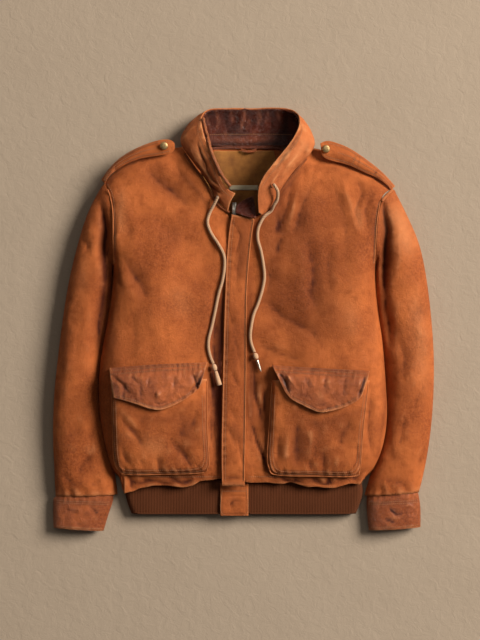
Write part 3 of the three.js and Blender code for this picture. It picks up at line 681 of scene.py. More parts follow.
def pucker(points, path, reach, pitch, height):
    # the gathers beside a seam, which come and go along it
    off, share = nearPath(points[:, :2], path)
    along = share * lengthOf(path)
    sway = gather["sway"] * np.sin(along / gather["swayLength"])
    wave = np.sin(2 * math.pi * along / pitch + sway + off / gather["slant"])
    uneven = gather["least"] + gather["more"] * noiseField(points, gather["size"], gather["seed"])
    return height * wave * np.exp(-((off / reach) ** 2)) * uneven


def sculpt(mesh, choices):
    # presses folds, ridges, puckers and wrinkles into a piece, and marks where it is rubbed, soiled and painted with
    # highlights and shade
    look = {**plainLook, **choices}
    points = pointsOf(mesh)
    weight = smoothStep(points[:, 2], *look["top"])
    strays = [noiseField(points, wander["size"], seed) for seed in wander["seeds"]]
    strayed = points[:, :2] + look["drift"] * np.stack(strays, axis=1)
    sink = look["press"] * foldField(strayed, look["folds"], look["widen"]) + look["inset"]
    lift = bumpy(points, look["bumps"])
    for path, reach, pitch, height in look["puckers"]:
        lift = lift + pucker(points, path, reach, pitch, height)
    if "push" in look:
        away = points - np.array(look["push"])
        away[:, 2] = np.maximum(away[:, 2], 0)
        away /= np.linalg.norm(away, axis=1)[:, None]
        points = points + away * ((lift - sink) * weight)[:, None]
    else:
        points[:, 2] += (lift - sink) * weight
    putPoints(mesh, points)
    rub, soil = wearAndShadeMasks(mesh, points, look)
    # painted shade: the fold hollows darken by their depth, and the listed paths add painted shade and painted
    # highlights
    hollows = foldShade["perDepth"] * np.clip(sink, 0, foldShade["deepest"])
    addMask(mesh, "rub", rub + foldField(points[:, :2], look["rubbed"]))
    addMask(mesh, "soil", soil + foldField(points[:, :2], look["soiled"]) + hollows)
    return mesh


def dipHem(mesh, look):
    # the full leather hangs over the band in loose rolls
    points = pointsOf(mesh)
    dip = np.interp(points[:, 0], [at for at, _ in look["dips"]], [low for _, low in look["dips"]])
    over = smoothStep(-points[:, 1], *look["dipFrom"]) * smoothStep(points[:, 2], *look["dipAbove"])
    points[:, 1] -= dip * over
    putPoints(mesh, points)


def drawEnd(mesh, start, end, by):
    # one end of a piece is drawn out under or over its neighbour
    points = pointsOf(mesh)
    points[:, 1] += by * smoothStep((points[:, 1] - start) / (end - start), 0, 1)
    putPoints(mesh, points)


def tuckEnd(mesh, look):
    # the end of the sleeve closes down onto the cuff
    points = pointsOf(mesh)
    near = smoothStep(-points[:, 1], *look["tuck"])
    points[:, 2] *= 1 - (1 - look["tuckTo"]) * near
    putPoints(mesh, points)


def cutPiece(name, nodeName, look, material, slot):
    # one piece of the cut: refined, pressed into its lie, and finished
    mesh = sculpt(refined(nodeName), look)
    if "dips" in look:
        dipHem(mesh, look)
    if "tuck" in look:
        tuckEnd(mesh, look)
    if "drawn" in look:
        drawEnd(mesh, *look["drawn"])
    return finished(name, mesh, material, slot, nodeName)


# body panels
frontLook = {
    "press": 1.15, "widen": 1.75,
    "top": (24, 42),       # folds fade in between these heights, so the tucked-in sides stay put
    "bumps": [
        (60, 3.2, 3.1, (1, 0.6, 0)), (26, 1.5, 8.4, (1, 0.7, 0)), (10, 0.5, 5.5, (1, 1, 0)),
        (5, 0.2, 1.5, (1, 1, 0)),
    ],
    "puckers": [
        ([(-220, -294), (-40, -298)], 12, 29, 1.2), ([(10, -298), (222, -294)], 12, 31, 1.2),
        ([(-234, 240), (-232, 110)], 9, 26, 0.8), ([(244, 226), (238, 110)], 9, 24, 0.9),
    ],
    "folds": [
        # wearer's right
        ([(-182, 276), (-150, 246), (-118, 222), (-92, 200)], 12, 4.5),
        ([(-128, 290), (-116, 262), (-128, 244)], 8, 2.5),
        ([(-226, 186), (-236, 140), (-232, 112)], 6, -2.0),
        ([(-226, 138), (-212, 150), (-206, 170)], 5, 1.6),
        ([(-226, 116), (-208, 88), (-188, 62), (-176, 30)], 10, 4.5),
        ([(-240, 92), (-230, 66), (-216, 48)], 6, 2.8), ([(-176, 186), (-130, 154), (-96, 138)], 16, 1.8),
        ([(-204, 20), (-198, -30), (-206, -70)], 9, 2.4), ([(-150, 30), (-110, 46), (-72, 36)], 13, -1.6),
        ([(-50, 178), (-44, 130), (-50, 90)], 8, -2.2),
        ([(-50, 60), (-54, -30), (-55, -130), (-51, -230), (-47, -294)], 7, 5.0),
        ([(-58, -120), (-60, -190), (-56, -262)], 3, 2.0, "sharp"),
        # wearer's left
        ([(68, 230), (60, 190), (72, 150), (60, 112)], 7, 3.0),
        ([(92, 262), (84, 216), (66, 172), (58, 150)], 7, 3.6),
        ([(104, 250), (92, 206), (78, 168)], 6, -2.6),
        ([(128, 268), (118, 226), (100, 180), (86, 140)], 8, 3.0),
        ([(162, 262), (178, 206), (188, 150), (184, 96)], 9, 2.6),
        ([(176, 262), (198, 206), (212, 150)], 6, -2.6),
        ([(206, 258), (218, 226), (206, 196), (214, 160)], 5, 3.0),
        ([(232, 230), (226, 196), (232, 150)], 5, 2.4),
        ([(118, 150), (128, 100), (126, 40), (140, -10)], 10, 3.0),
        ([(158, 132), (154, 80), (164, 40)], 8, 2.6), ([(34, 112), (52, 74), (44, 30)], 7, 2.4),
        ([(26, 44), (68, 6), (118, -20), (152, -56)], 8, 2.6),
        ([(28, -50), (60, -66), (110, -76)], 6, 2.0),
        ([(16, -86), (23, -134), (32, -192)], 5, 4.0, "sharp"),
        ([(41, -130), (36, -178)], 5, 3.0, "sharp"),
        ([(14, -194), (27, -235), (43, -280), (62, -296)], 6, 4.6, "sharp"),
        ([(30, -120), (31, -160)], 4, -2.4), ([(22, -206), (38, -250)], 5, -2.0),
        ([(10, -130), (13, -190)], 4, -1.8), ([(226, 60), (238, -10), (234, -80)], 8, 2.6),
        ([(238, -120), (228, -200), (238, -262)], 5, 3.4),
        ([(-228, -276), (-206, -296), (-176, -299)], 3.5, 3.2),
        ([(-186, -292), (-150, -303), (-124, -299)], 3, 2.8),
        ([(-140, -291), (-112, -300), (-84, -296)], 3, 2.8), ([(-212, -300), (-190, -310)], 3, 2.2),
        ([(60, -290), (86, -301), (112, -297)], 3, 2.8),
        ([(118, -294), (146, -304), (172, -298)], 3, 3.0),
        ([(176, -292), (206, -296), (224, -282)], 3.5, 3.0), ([(96, -300), (94, -278)], 5, 2.4),
        ([(160, -300), (158, -276)], 5, 2.2), ([(202, -298), (206, -272)], 5, 2.6),
    ],
    "dipFrom": (284, 301), "dipAbove": (15, 24),
    "dips": [
        (-240, 6), (-228, 11), (-205, 11), (-190, 6), (-165, 3), (-140, 5), (-112, 4), (-92, 2),
        (-80, -4), (-44, -5), (8, -3), (44, -1), (58, 2), (74, 4), (86, 1), (100, 3), (118, 4), (134, 2),
        (150, 5), (166, 6), (182, 2), (196, 0), (214, 4), (234, 7),
    ],
    # painted shade: broad dark patches where the wearer's left front faces away from the light, and dark bands along
    # the folds, beside the storm flap, under the collar, in the armhole valleys and along the hem
    "soiled": [
        ([(-180, 272), (-140, 240), (-100, 206)], 16, 0.35), ([(-160, 150), (-110, 140)], 26, 0.22),
        ([(-218, 96), (-190, 40), (-196, 0)], 16, 0.25), ([(58, 220), (66, 150)], 22, 0.3),
        ([(240, 210), (242, 60)], 7, 0.4), ([(-240, 220), (-241, 110)], 5, 0.35),
        ([(120, 250), (110, 60), (90, -90)], 95, 0.30), ([(34, 190), (52, 120), (36, 40)], 34, 0.26),
        ([(22, -60), (36, -200), (48, -290)], 24, 0.42), ([(104, 250), (112, 190), (96, 120)], 18, 0.22),
        ([(150, 60), (176, -20)], 26, 0.18), ([(-72, 60), (-66, -60), (-58, -180)], 16, 0.25),
        ([(-236, 30), (-240, -80)], 18, 0.3), ([(-60, 200), (-90, 238), (-118, 270)], 8, 0.5),
        ([(50, 200), (84, 246), (112, 282)], 8, 0.5), ([(-44, 60), (-48, -290)], 7, 0.8),
        ([(-27, 180), (-37, 60), (-43, -110), (-43.5, -300)], 3, 1.0),
        ([(12, 100), (14, -100), (14, -280)], 6, 0.5), ([(258, -60), (262, -160), (244, -280)], 7, 0.4),
        ([(-225, -298), (-40, -300)], 7, 0.35), ([(10, -300), (222, -298)], 7, 0.35),
    ],
    "rubbed": [
        ([(-222, 240), (-226, 190), (-222, 150)], 12, 0.35), ([(-130, 60), (-100, 0)], 24, 0.18),
        ([(206, 210), (216, 160)], 8, 0.3), ([(190, 40), (200, -40)], 18, 0.18),
    ],
}

panels = {}
for nodeName, pieceName, flat, area in (
    ("front_right", "frontRight", (0.262, 0.66), 0.150), ("front_left", "frontLeft", (0.30, 0.66), 0.168),
):
    piece = cutPiece(pieceName, nodeName, frontLook, tanLeather, "leather")
    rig.sheet(piece, flat=flat, held="laid", area=area, rests_on=["backPanel"])
    panels[pieceName] = piece

backLook = {"top": (40, 60)}
panels["backPanel"] = cutPiece("backPanel", "back", backLook, tanLeather, "leather")
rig.sheet(panels["backPanel"], flat=(0.60, 0.64), held="laid", area=0.33)
print("body panels made")


# sleeves and cuffs
sleeveLook = {
    "press": 1.2, "widen": 1.35,
    "top": (24, 40),
    "bumps": [
        (48, 2.6, 1.7, (1, 0.6, 0)), (20, 1.3, 6.3, (1, 0.8, 0)), (9, 0.5, 2.2, (1, 1, 0)),
        (5, 0.2, 4.5, (1, 1, 0)),
    ],
    "puckers": [([(-350, -326), (-236, -322)], 16, 22, 1.6), ([(226, -322), (328, -318)], 16, 20, 1.6)],
    "folds": [
        ([(-262, 214), (-256, 160), (-254, 100), (-256, 60)], 9, 13),
        ([(-300, 150), (-284, 134), (-292, 116)], 6, 2.2), ([(-258, 60), (-264, 0), (-274, -60)], 11, 7),
        ([(-300, 40), (-326, -10)], 14, 2.0), ([(-320, -60), (-332, -160)], 10, -1.6),
        ([(-280, -250), (-306, -292)], 7, 2.2), ([(-340, -286), (-300, -316)], 6, 2.0),
        ([(-296, -200), (-330, -230)], 9, 1.8), ([(-270, -180), (-284, -230)], 7, 2.0),
        ([(-262, -296), (-280, -312)], 5, 1.8), ([(258, 214), (262, 160), (260, 100), (258, 50)], 7, 12),
        ([(284, 190), (288, 130), (282, 70)], 9, -2.0), ([(260, 60), (266, 0), (268, -60)], 9, 6),
        ([(284, -30), (300, -74), (292, -116)], 8, 2.6), ([(330, 24), (304, -10)], 12, 2.0),
        ([(300, -180), (286, -240)], 7, 2.4), ([(340, -226), (320, -284)], 5, 2.0),
        ([(262, -292), (300, -312)], 5, 2.0), ([(334, -120), (310, -170)], 8, 1.6),
    ],
    "tuck": (304, 328), "tuckTo": 0.9,
    # painted shade in the armhole valleys and on the shaded side of the wearer's right sleeve
    "soiled": [
        ([(-260, 210), (-256, 60), (-270, -60)], 10, 0.7),
        ([(-300, 120), (-322, -60), (-320, -260)], 30, 0.2), ([(262, 200), (262, 0)], 8, 0.6),
    ],
    # the first two paths are painted highlights on the lit top of the wearer's left sleeve
    "rubbed": [
        ([(270, 214), (292, 170), (306, 110)], 26, 0.5), ([(312, 60), (326, -40), (330, -140)], 20, 0.28),
        ([(-290, 120), (-300, 40)], 12, 0.15),
    ],
}
cuffLook = {
    "top": (18, 28),
    "bumps": [(24, 1.4, 9.1, (1, 1, 0)), (10, 0.8, 3.9, (0.8, 1.2, 0)), (5, 0.35, 6.6, (1, 1, 0))],
    "puckers": [([(-352, -334), (-242, -336)], 9, 11, 0.8), ([(229, -332), (329, -334)], 9, 12, 0.8)],
    "folds": [
        ([(268, -350), (284, -366), (300, -362)], 4, 2.6), ([(262, -372), (282, -380)], 4, 1.6),
        ([(300, -346), (318, -352)], 4, -1.4), ([(-330, -352), (-306, -360)], 5, 1.6),
        ([(-290, -346), (-268, -362)], 5, 1.8), ([(-320, -376), (-290, -380)], 4, -1.3),
    ],
    "rub": 1.0, "soil": 1.0, "drawn": (-346, -330, 7),
}

sleeves = {}
for side in ("right", "left"):
    sideName = side.title()
    sleeves[side] = cutPiece(f"sleeve{sideName}", f"sleeve_{side}", sleeveLook, tanLeather, "leather")
    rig.sheet(sleeves[side], flat=(0.26, 0.66), held="laid", area=0.13)
    sleeves[side + "Cuff"] = cutPiece(
        f"cuff{sideName}", f"cuff_{side}", cuffLook, rubbedLeather, "rubbed_leather",
    )
    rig.sheet(sleeves[side + "Cuff"], flat=(0.215, 0.068), held="laid")
print("sleeves and cuffs made")


# waistband and tab
bandLook = {
    "top": (10, 20),
    "bumps": [(40, 1.0, 2.9, (1, 1, 0))],
    "puckers": [([(-220, -304), (-40, -304)], 22, 21, 1.0), ([(8, -304), (222, -304)], 22, 19, 1.0)],
    # painted shade along the top of the band, under the hem
    "soiled": [([(-225, -304), (-40, -306)], 8, 0.6), ([(8, -306), (224, -304)], 8, 0.6)],
}
tabLook = {
    "top": (10, 20),
    "bumps": [(16, 0.9, 2.3, (1, 1, 0)), (7, 0.4, 4.3, (1, 1, 0))],
    "folds": [
        ([(-42, -330), (8, -333)], 3, 1.0), ([(-34, -352), (-16, -340), (2, -344)], 4, 1.4),
        ([(-20, -334), (-26, -360)], 4, 1.0),
    ],
    # painted shade under the hem's edge and along the tab's fold
    "soiled": [([(-20, -330), (-16, -350)], 14, 0.35), ([(-43, -314), (9, -314)], 6, 0.5)],
    "rub": 1.0, "drawn": (-322, -312, 5),
}
band = cutPiece("knitBand", "waistband", bandLook, ribKnit, "rib_knit")
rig.sheet(band, flat=(0.90, 0.065), held="laid")
tab = cutPiece("hemTab", "hem_tab", tabLook, tanLeather, "leather")
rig.sheet(tab, flat=(0.052, 0.056), held="laid")


# storm flap and zip
flapLook = {
    "top": (20, 30),
    "bumps": [(34, 0.9, 6.1, (0.5, 1, 0)), (14, 0.6, 1.2, (1, 1, 0)), (7, 0.25, 8.8, (1, 1, 0))],
    "puckers": [
        ([(-37, -300), (-36, -110), (-32, 38), (-20, 186)], 7, 13, 0.9),
        ([(1, -300), (4, -100), (6, 60), (16, 182)], 5, 19, 0.6),
    ],
    "folds": [
        ([(-39, -290), (4, -292)], 4, 1.6), ([(-20, 176), (-6, 150), (-14, 110)], 5, 1.4),
        ([(-6, 120), (-14, 60)], 6, 1.2), ([(-30, -160), (-10, -190)], 6, 1.2),
        ([(-14, -40), (-4, -110)], 5, 1.1), ([(-22, -100), (-8, -130)], 5, 1.4),
        ([(-28, -200), (-12, -240)], 6, 1.4), ([(-10, -220), (-2, -270)], 5, 1.2),
        ([(-30, 20), (-18, -20)], 5, 1.2),
    ],
    # painted shade under the collar's end, along the flap's edges and in its folds
    "soiled": [
        ([(4, 60), (6, -290)], 5, 0.35), ([(4, 180), (-8, 60)], 22, 0.55),
        ([(-14, 20), (-18, -120)], 16, 0.32), ([(-20, -190), (-8, -230)], 12, 0.3),
        ([(-40, -300), (2, -302)], 6, 0.4),
    ],
    "rubbed": [
        ([(-38.5, -298), (-39, -239), (-36.5, -110), (-34.5, -24), (-32.5, 38), (-29.5, 107),
            (-25.5, 155), (-20.8, 186)], 1.6, 0.6),
    ],
    "rub": 0.9, "drawn": (-284, -303, -7),
}
flap = cutPiece("stormFlap", "storm_flap", flapLook, tanLeather, "leather")
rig.sheet(flap, flat=(0.047, 0.50), held="laid")
finished("zipTape", refined("zip", 1), zipMetal, "zip_metal", "zip")


# collar
collarLook = {
    "top": (6, 20), "push": (4, 270, -40), "press": 1.0,    # pushed out from inside the neck
    "bumps": [(38, 1.6, 5.2, (1, 1, 1)), (17, 0.9, 2.6, (1, 1, 1)), (8, 0.4, 9.3, (1, 1, 1))],
    "folds": [
        ([(-108, 306), (-91, 275), (-62, 243), (-40, 224)], 4, 4.5, "sharp"),
        ([(-84, 323), (-70, 268), (-43, 238)], 3.5, 4.0, "sharp"),
        ([(-98, 312), (-80, 272), (-52, 242)], 4, -1.8), ([(-100, 290), (-84, 262)], 5, 2.0),
        ([(-70, 262), (-58, 238)], 4, 1.8), ([(-60, 226), (-40, 222)], 4, -1.8),
        ([(101, 338), (92, 322), (80, 306), (64, 280)], 4, 3.6, "sharp"),
        ([(92, 344), (80, 316)], 4, -2.0), ([(118, 310), (96, 276), (70, 246)], 6, 2.4),
        ([(84, 300), (62, 262), (44, 236)], 4, -1.4), ([(70, 262), (58, 244)], 4, 1.8),
        ([(96, 296), (76, 270)], 4, -1.5),
    ],
    # painted shade along the creases, under the collar's lower edges and in the eyelet hole
    "soiled": [
        ([(53.5, 241), (54, 242)], 3.4, 1.2), ([(-116, 318), (-92, 276), (-62, 232), (-30, 198)], 9, 0.7),
        ([(130, 310), (96, 262), (62, 214)], 9, 0.55),
        ([(-108, 306), (-91, 275), (-62, 243), (-44, 226)], 3.4, 0.8),
        ([(-84, 323), (-70, 268), (-46, 238)], 2.6, 0.75), ([(-97, 318), (-81, 276), (-56, 244)], 2, 0.5),
        ([(103, 340), (92, 320), (76, 296), (58, 268)], 2.6, 0.8), ([(120, 322), (112, 300)], 5, 0.4),
    ],
    "rubbed": [
        ([(-92, 316), (-76, 276), (-52, 242)], 3.5, 0.5), ([(92, 334), (80, 306), (52, 262)], 4, 0.55),
        ([(116, 330), (100, 300), (74, 262)], 6, 0.35),
    ],
    "rubAt": (0.03, 0.2), "rub": 1.0,
}
facingFolds = {
    "top": (4, 12), "push": (4, 270, -40), "press": 1.0, "inset": 0.9,
    "bumps": [(24, 1.6, 5.2, (1.8, 0.5, 1)), (11, 1.3, 2.6, (2.0, 0.5, 1)), (6, 0.5, 9.3, (1.3, 1, 1))],
    "folds": [
        ([(-57, 386), (-50, 350), (-56, 326)], 4, 3.0), ([(-33, 390), (-28, 356), (-34, 334)], 3.5, 3.0),
        ([(-11, 390), (-4, 362), (-10, 340)], 3.5, 3.2), ([(2, 390), (-2, 360)], 3, -2.4),
        ([(20, 390), (26, 352)], 3.5, 3.0), ([(37, 388), (32, 350), (38, 334)], 3.5, 2.8),
        ([(59, 386), (54, 350)], 4, 3.0), ([(76, 376), (70, 340)], 4, 3.0), *collarLook["folds"],
        ([(-84, 342), (84, 342)], 2.5, 1.4), ([(-74, 372), (-66, 336)], 4, 3.0),
        ([(-44, 384), (-40, 348)], 3, -2.2), ([(48, 384), (44, 348)], 3, -2.2),
    ],
    # painted glossy highlights along the ridges of the wrinkles, and a paler lower band
    "rubbed": [
        ([(-70, 334), (0, 331), (70, 334)], 8, 0.4), ([(-52, 388), (-46, 366), (-50, 350)], 2.6, 0.75),
        ([(-24, 386), (-19, 362)], 2.4, 0.6), ([(3, 390), (0, 368), (-6, 346)], 2.6, 0.9),
        ([(12, 372), (6, 350)], 1.8, 0.5), ([(28, 390), (31, 372), (28, 360)], 2.8, 0.8),
        ([(46, 386), (42, 362)], 2.2, 0.5), ([(64, 388), (66, 366)], 2.8, 0.5),
        ([(-70, 380), (-62, 350)], 2.4, 0.5), ([(-36, 352), (-30, 334)], 3, 0.4),
        ([(18, 350), (24, 332)], 3, 0.4),
    ],
    # painted shade in the troughs between the wrinkles, beside a dark seam line along the lower band
    "soiled": [
        ([(-80, 324), (90, 324)], 5, 0.8), ([(-34, 388), (-30, 352)], 3, 0.5),
        ([(-8, 388), (-12, 350)], 3, 0.5), ([(16, 388), (18, 350)], 3, 0.5),
        ([(56, 386), (54, 346)], 4, 0.5), ([(80, 384), (76, 330)], 8, 0.6),
    ],
    "rubAt": (0.04, 0.3), "rub": 0.9, "soil": 0.9, "spread": 1,
}
throatLook = {"top": (10, 20), "bumps": [(14, 0.8, 3.3, (1, 1, 1))]}
collar = cutPiece("standCollar", "collar", collarLook, collarLeather, "leather")
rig.sheet(collar, flat=(0.56, 0.09), held="laid", area=0.037)
facing = cutPiece("collarFacing", "collar_facing", facingFolds, facingLeather, "dark_leather")
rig.sheet(facing, flat=(0.54, 0.085), held="laid", area=0.035)
throat = cutPiece("throatFacing", "throat_facing", throatLook, facingLeather, "dark_leather")
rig.sheet(throat, flat=(0.036, 0.036), held="laid", area=0.00125)


# neck
liningLook = {
    "top": (-9, -8),    # all of it is free to move
    "bumps": [(30, 0.6, 4.1, (1, 0.6, 0)), (13, 0.35, 1.9, (1, 0.7, 0))],
    "folds": [([(-60, 250), (60, 252)], 2.5, 0.8)],
    # painted shade under the collar's ends and along the bottom of the lining
    "soiled": [([(-70, 196), (66, 192)], 16, 0.6), ([(70, 300), (70, 220)], 14, 0.5)],
}
lining = cutPiece("neckLining", "neck_lining", liningLook, twillLining, "twill_lining")
label = finished("neckLabel", refined("neck_label", 2), labelCloth, "label_cloth", "neck_label")
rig.sheet(lining, flat=(0.148, 0.134), held="laid", area=0.0186, with_pieces=[label])
finished("hangerLoop", refined("hanger_loop", 2), rubbedLeather, "rubbed_leather", "hanger_loop")


# pockets
bagLook = {
    "press": 1.2, "widen": 1.4,
    "top": (20, 40),
    "bumps": [(40, 2.6, 7.2, (1, 0.6, 0)), (18, 1.3, 3.3, (1, 0.8, 0)), (8, 0.5, 5.1, (1, 1, 0))],
    "puckers": [
        ([(-238, -284), (-150, -286), (-70, -280)], 11, 15, 1.3),
        ([(52, -286), (130, -288), (210, -288)], 11, 16, 1.2), ([(-70, -130), (-70, -270)], 6, 18, 0.9),
        ([(-238, -130), (-236, -270)], 7, 20, 1.0), ([(50, -130), (48, -270)], 7, 20, 1.0),
        ([(226, -130), (214, -270)], 6, 18, 1.0),
    ],
    "folds": [
        ([(-224, -182), (-203, -208), (-186, -236)], 6, 4.2, "sharp"),
        ([(-152, -254), (-154, -286)], 5, 3.4), ([(-136, -219), (-112, -248), (-91, -278)], 7, 3.6),
        ([(-212, -178), (-188, -206)], 7, -1.8), ([(-118, -170), (-110, -200), (-118, -226)], 14, 3.4),
        ([(-88, -166), (-92, -210)], 8, 2.4), ([(-222, -236), (-212, -276)], 5, 2.2),
        ([(-190, -254), (-176, -280)], 5, 2.2), ([(99, -190), (97, -230), (100, -284)], 11, 3.0),
        ([(64, -214), (62, -262)], 7, 3.0), ([(146, -242), (147, -284)], 6, 3.2),
        ([(194, -180), (182, -216), (176, -236)], 9, 3.0), ([(124, -200), (120, -262)], 7, -2.0),
        ([(80, -200), (78, -262)], 6, -1.6), ([(206, -230), (208, -272)], 5, 2.4),
        ([(172, -250), (170, -276)], 5, -1.6), ([(122, -262), (124, -284)], 4, 2.0),
    ],
    # painted shade: darker patches on the bags, dark outlines along their gusset edges, and the shadow under the flaps
    "soiled": [
        ([(-104, -180), (-98, -240)], 24, 0.42), ([(130, -180), (120, -270)], 70, 0.24),
        ([(99, -190), (99, -270)], 22, 0.3), ([(190, -180), (178, -230)], 12, 0.3),
        ([(-242, -130), (-236, -282), (-150, -290), (-66, -284), (-66, -130)], 6, 0.5),
        ([(46, -130), (46, -286), (130, -292), (214, -290), (226, -130)], 6, 0.5),
        ([(-230, -170), (-151, -190), (-90, -160)], 12, 0.35),
        ([(80, -170), (138, -196), (214, -168)], 12, 0.35),
    ],
    "rubbed": [
        ([(-190, -230), (-140, -240)], 22, 0.3),
        ([(-240, -150), (-239, -262), (-226, -284), (-150, -288), (-80, -285), (-66, -270)], 1.8, 0.5),
        ([(47, -150), (45, -262), (60, -288), (130, -291), (204, -291), (215, -268),
            (224, -150)], 1.8, 0.55),
    ],
    "rub": 0.9,
}
coverLook = {
    "top": (30, 50),
    "bumps": [(28, 1.5, 2.2, (1, 1, 0)), (13, 1.1, 6.9, (1, 1.2, 0)), (6, 0.45, 4.7, (1, 1, 0))],
    "puckers": [
        ([(-246, -96), (-157, -90), (-66, -86)], 20, 10.5, 0.9),
        ([(52, -91), (140, -96), (231, -101)], 18, 12.5, 0.7),
        ([(-236, -142), (-172, -160), (-151, -163), (-105, -144), (-80, -126)], 5, 12, 0.7),
        ([(74, -128), (112, -156), (137, -168), (190, -156), (212, -142)], 5, 13, 0.6),
    ],
    "folds": [
        ([(-240, -104), (-222, -120), (-206, -140)], 5, 2.4), ([(-206, -104), (-190, -124)], 5, 2.2),
        ([(-170, -104), (-176, -128)], 4, 1.8), ([(-128, -104), (-124, -128)], 5, 2.0),
        ([(-100, -140), (-84, -120), (-70, -92)], 4, 3.2), ([(-90, -140), (-74, -112)], 3, -2.2),
        ([(-158, -136), (-150, -140)], 6.5, -3.0),
        ([(-92, -100), (-84, -126), (-80, -142)], 3.5, 4.5, "sharp"),
        ([(-190, -112), (-184, -150)], 4, 1.8), ([(-216, -118), (-222, -146)], 4, 2.0),
        ([(-164, -152), (-151, -156), (-138, -151)], 3, 1.2),
        ([(58, -94), (76, -118), (84, -138)], 4, 3.0), ([(70, -96), (92, -124)], 4, -2.0),
        ([(110, -104), (120, -132)], 5, 1.8), ([(150, -108), (146, -130)], 5, 1.6),
        ([(186, -110), (180, -140)], 5, 1.8), ([(222, -104), (206, -144)], 4, 3.0),
        ([(126, -158), (138, -161), (150, -157)], 3, 1.1),
    ],
    # painted shade in the creases, at the ends and along the top seams
    "soiled": [
        ([(-84, -98), (-78, -138)], 4, 0.9), ([(-240, -120), (-236, -142)], 5, 0.5),
        ([(64, -100), (86, -140)], 5, 0.7), ([(226, -104), (210, -142)], 5, 0.7),
        ([(-246, -90), (-157, -85), (-66, -82)], 4, 0.6), ([(52, -86), (140, -92), (231, -97)], 4, 0.6),
    ],
    "rubbed": [
        ([(-237, -146), (-198, -154), (-172, -163), (-151, -167), (-130, -160), (-106, -149),
            (-80, -130)], 2.4, 0.7),
        ([(-243, -100), (-237, -142)], 2.2, 0.6),
        ([(70, -126), (84, -146), (111, -160), (137, -172), (163, -167), (190, -159),
            (214, -144)], 2.4, 0.7),
        ([(54, -94), (70, -126)], 2.6, 0.8), ([(231, -103), (214, -144)], 2.4, 0.7),
        ([(-151, -138), (-150, -140)], 5, 0.4), ([(138, -132), (140, -150)], 6, 0.35),
    ],
    "rubAt": (0.04, 0.3), "rub": 1.0, "soil": 1.0,
}
bags = {}
for side in ("right", "left"):
    sideName = side.title()
    bags[side] = cutPiece(f"pocket{sideName}", f"pocket_{side}", bagLook, tanLeather, "leather")
    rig.sheet(bags[side], flat=(0.215, 0.20), held="laid", area=0.034)
    bags[side + "Flap"] = cutPiece(
        f"pocketFlap{sideName}", f"pocket_flap_{side}", coverLook, rubbedLeather, "rubbed_leather",
    )
    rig.sheet(bags[side + "Flap"], flat=(0.185, 0.085), held="laid", area=0.0124)


# shoulder straps and snaps
strapLook = {
    "top": (20, 36),
    "bumps": [(22, 0.9, 5.7, (1, 1, 0)), (9, 0.4, 2.1, (1, 1, 0))],
    "folds": [
        ([(-236, 262), (-238, 284)], 3, 1.2), ([(238, 262), (250, 276)], 3, 1.2),
        ([(206, 272), (214, 300)], 3, 1.0),
    ],
    "rubAt": (0.03, 0.25), "rub": 1.0, "soil": 0.9,
}
straps = {}
for side in ("right", "left"):
    sideName = side.title()
    straps[side] = cutPiece(
        f"shoulderStrap{sideName}", f"shoulder_strap_{side}", strapLook, tanLeather, "leather",
    )
    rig.sheet(straps[side], flat=(0.165, 0.033), held="laid", area=0.0043)
    finished(f"snap{sideName}", refined(f"snap_{side}", 2, 30), agedBrass, "brass", f"snap_{side}")
print("trim made")


# drawcord
cordShape = {
    "radius": 3.2, "sides": 12, "step": 1.0,
    "lobes": 3, "lay": 13,                   # strands, and the length of cord in which they turn once
    "groove": 0.34, "grooveEdge": 1.2,       # how deep the strands part, and how narrow the painted shade in the gap is
    "clear": 0.3,                            # how far it lies above the leather
}
# where a height is 0, the cord lies on the leather below it
cordRoutes = {
    "Right": [
        (-47, 221, 72), (-53, 209, 67), (-62, 192, 0), (-66, 174, 0), (-59.5, 155, 0), (-46, 134.5, 0),
        (-36.5, 115, 0), (-35, 95.5, 0), (-38.5, 70, 0), (-45.7, 44, 0), (-52, 13.5, 0), (-58.3, -16, 0),
        (-63.8, -38.5, 0), (-64.4, -56, 0), (-60.7, -72.5, 0), (-56, -84, 0),
    ],
    "Left": [
        (54.5, 242, 87), (58.5, 236, 89), (62, 228, 85), (61, 215, 76), (55, 205, 70), (50, 195.5, 0),
        (38.5, 186, 0), (31.5, 175, 0), (26.5, 162, 0), (26, 144, 0), (31.5, 123.5, 0), (36, 99.5, 0),
        (38.3, 75.5, 0), (34.8, 53, 0), (26.8, 26.5, 0), (18.3, 5, 0), (13, -22.5, 0), (12.5, -38.5, 0),
        (15, -50.5, 0), (20, -63.5, 0),
    ],
}


def treesOf(pieces):
    # the pieces' surfaces, for rays to be cast at
    trees = []
    for piece in pieces:
        shape = bmesh.new()
        shape.from_mesh(piece.data)
        trees.append(BVHTree.FromBMesh(shape))
        shape.free()
    return trees


def hitsUnder(trees, x, y):
    # where a ray from above meets each surface, as place and normal
    sky = 0.2
    hits = [tree.ray_cast(Vector((x * mm, y * mm, sky)), Vector((0, 0, -1))) for tree in trees]
    return [hit for hit in hits if hit[0]]


def groundUnder(pieces):
    trees = treesOf(pieces)

    def height(x, y, spread=3.0):
        around = ((0, 0), (spread, 0), (-spread, 0), (0, spread), (0, -spread))
        hits = [hit for dx, dy in around for hit in hitsUnder(trees, x + dx, y + dy)]
        return max([0.0] + [hit[0].z / mm for hit in hits])
    return height


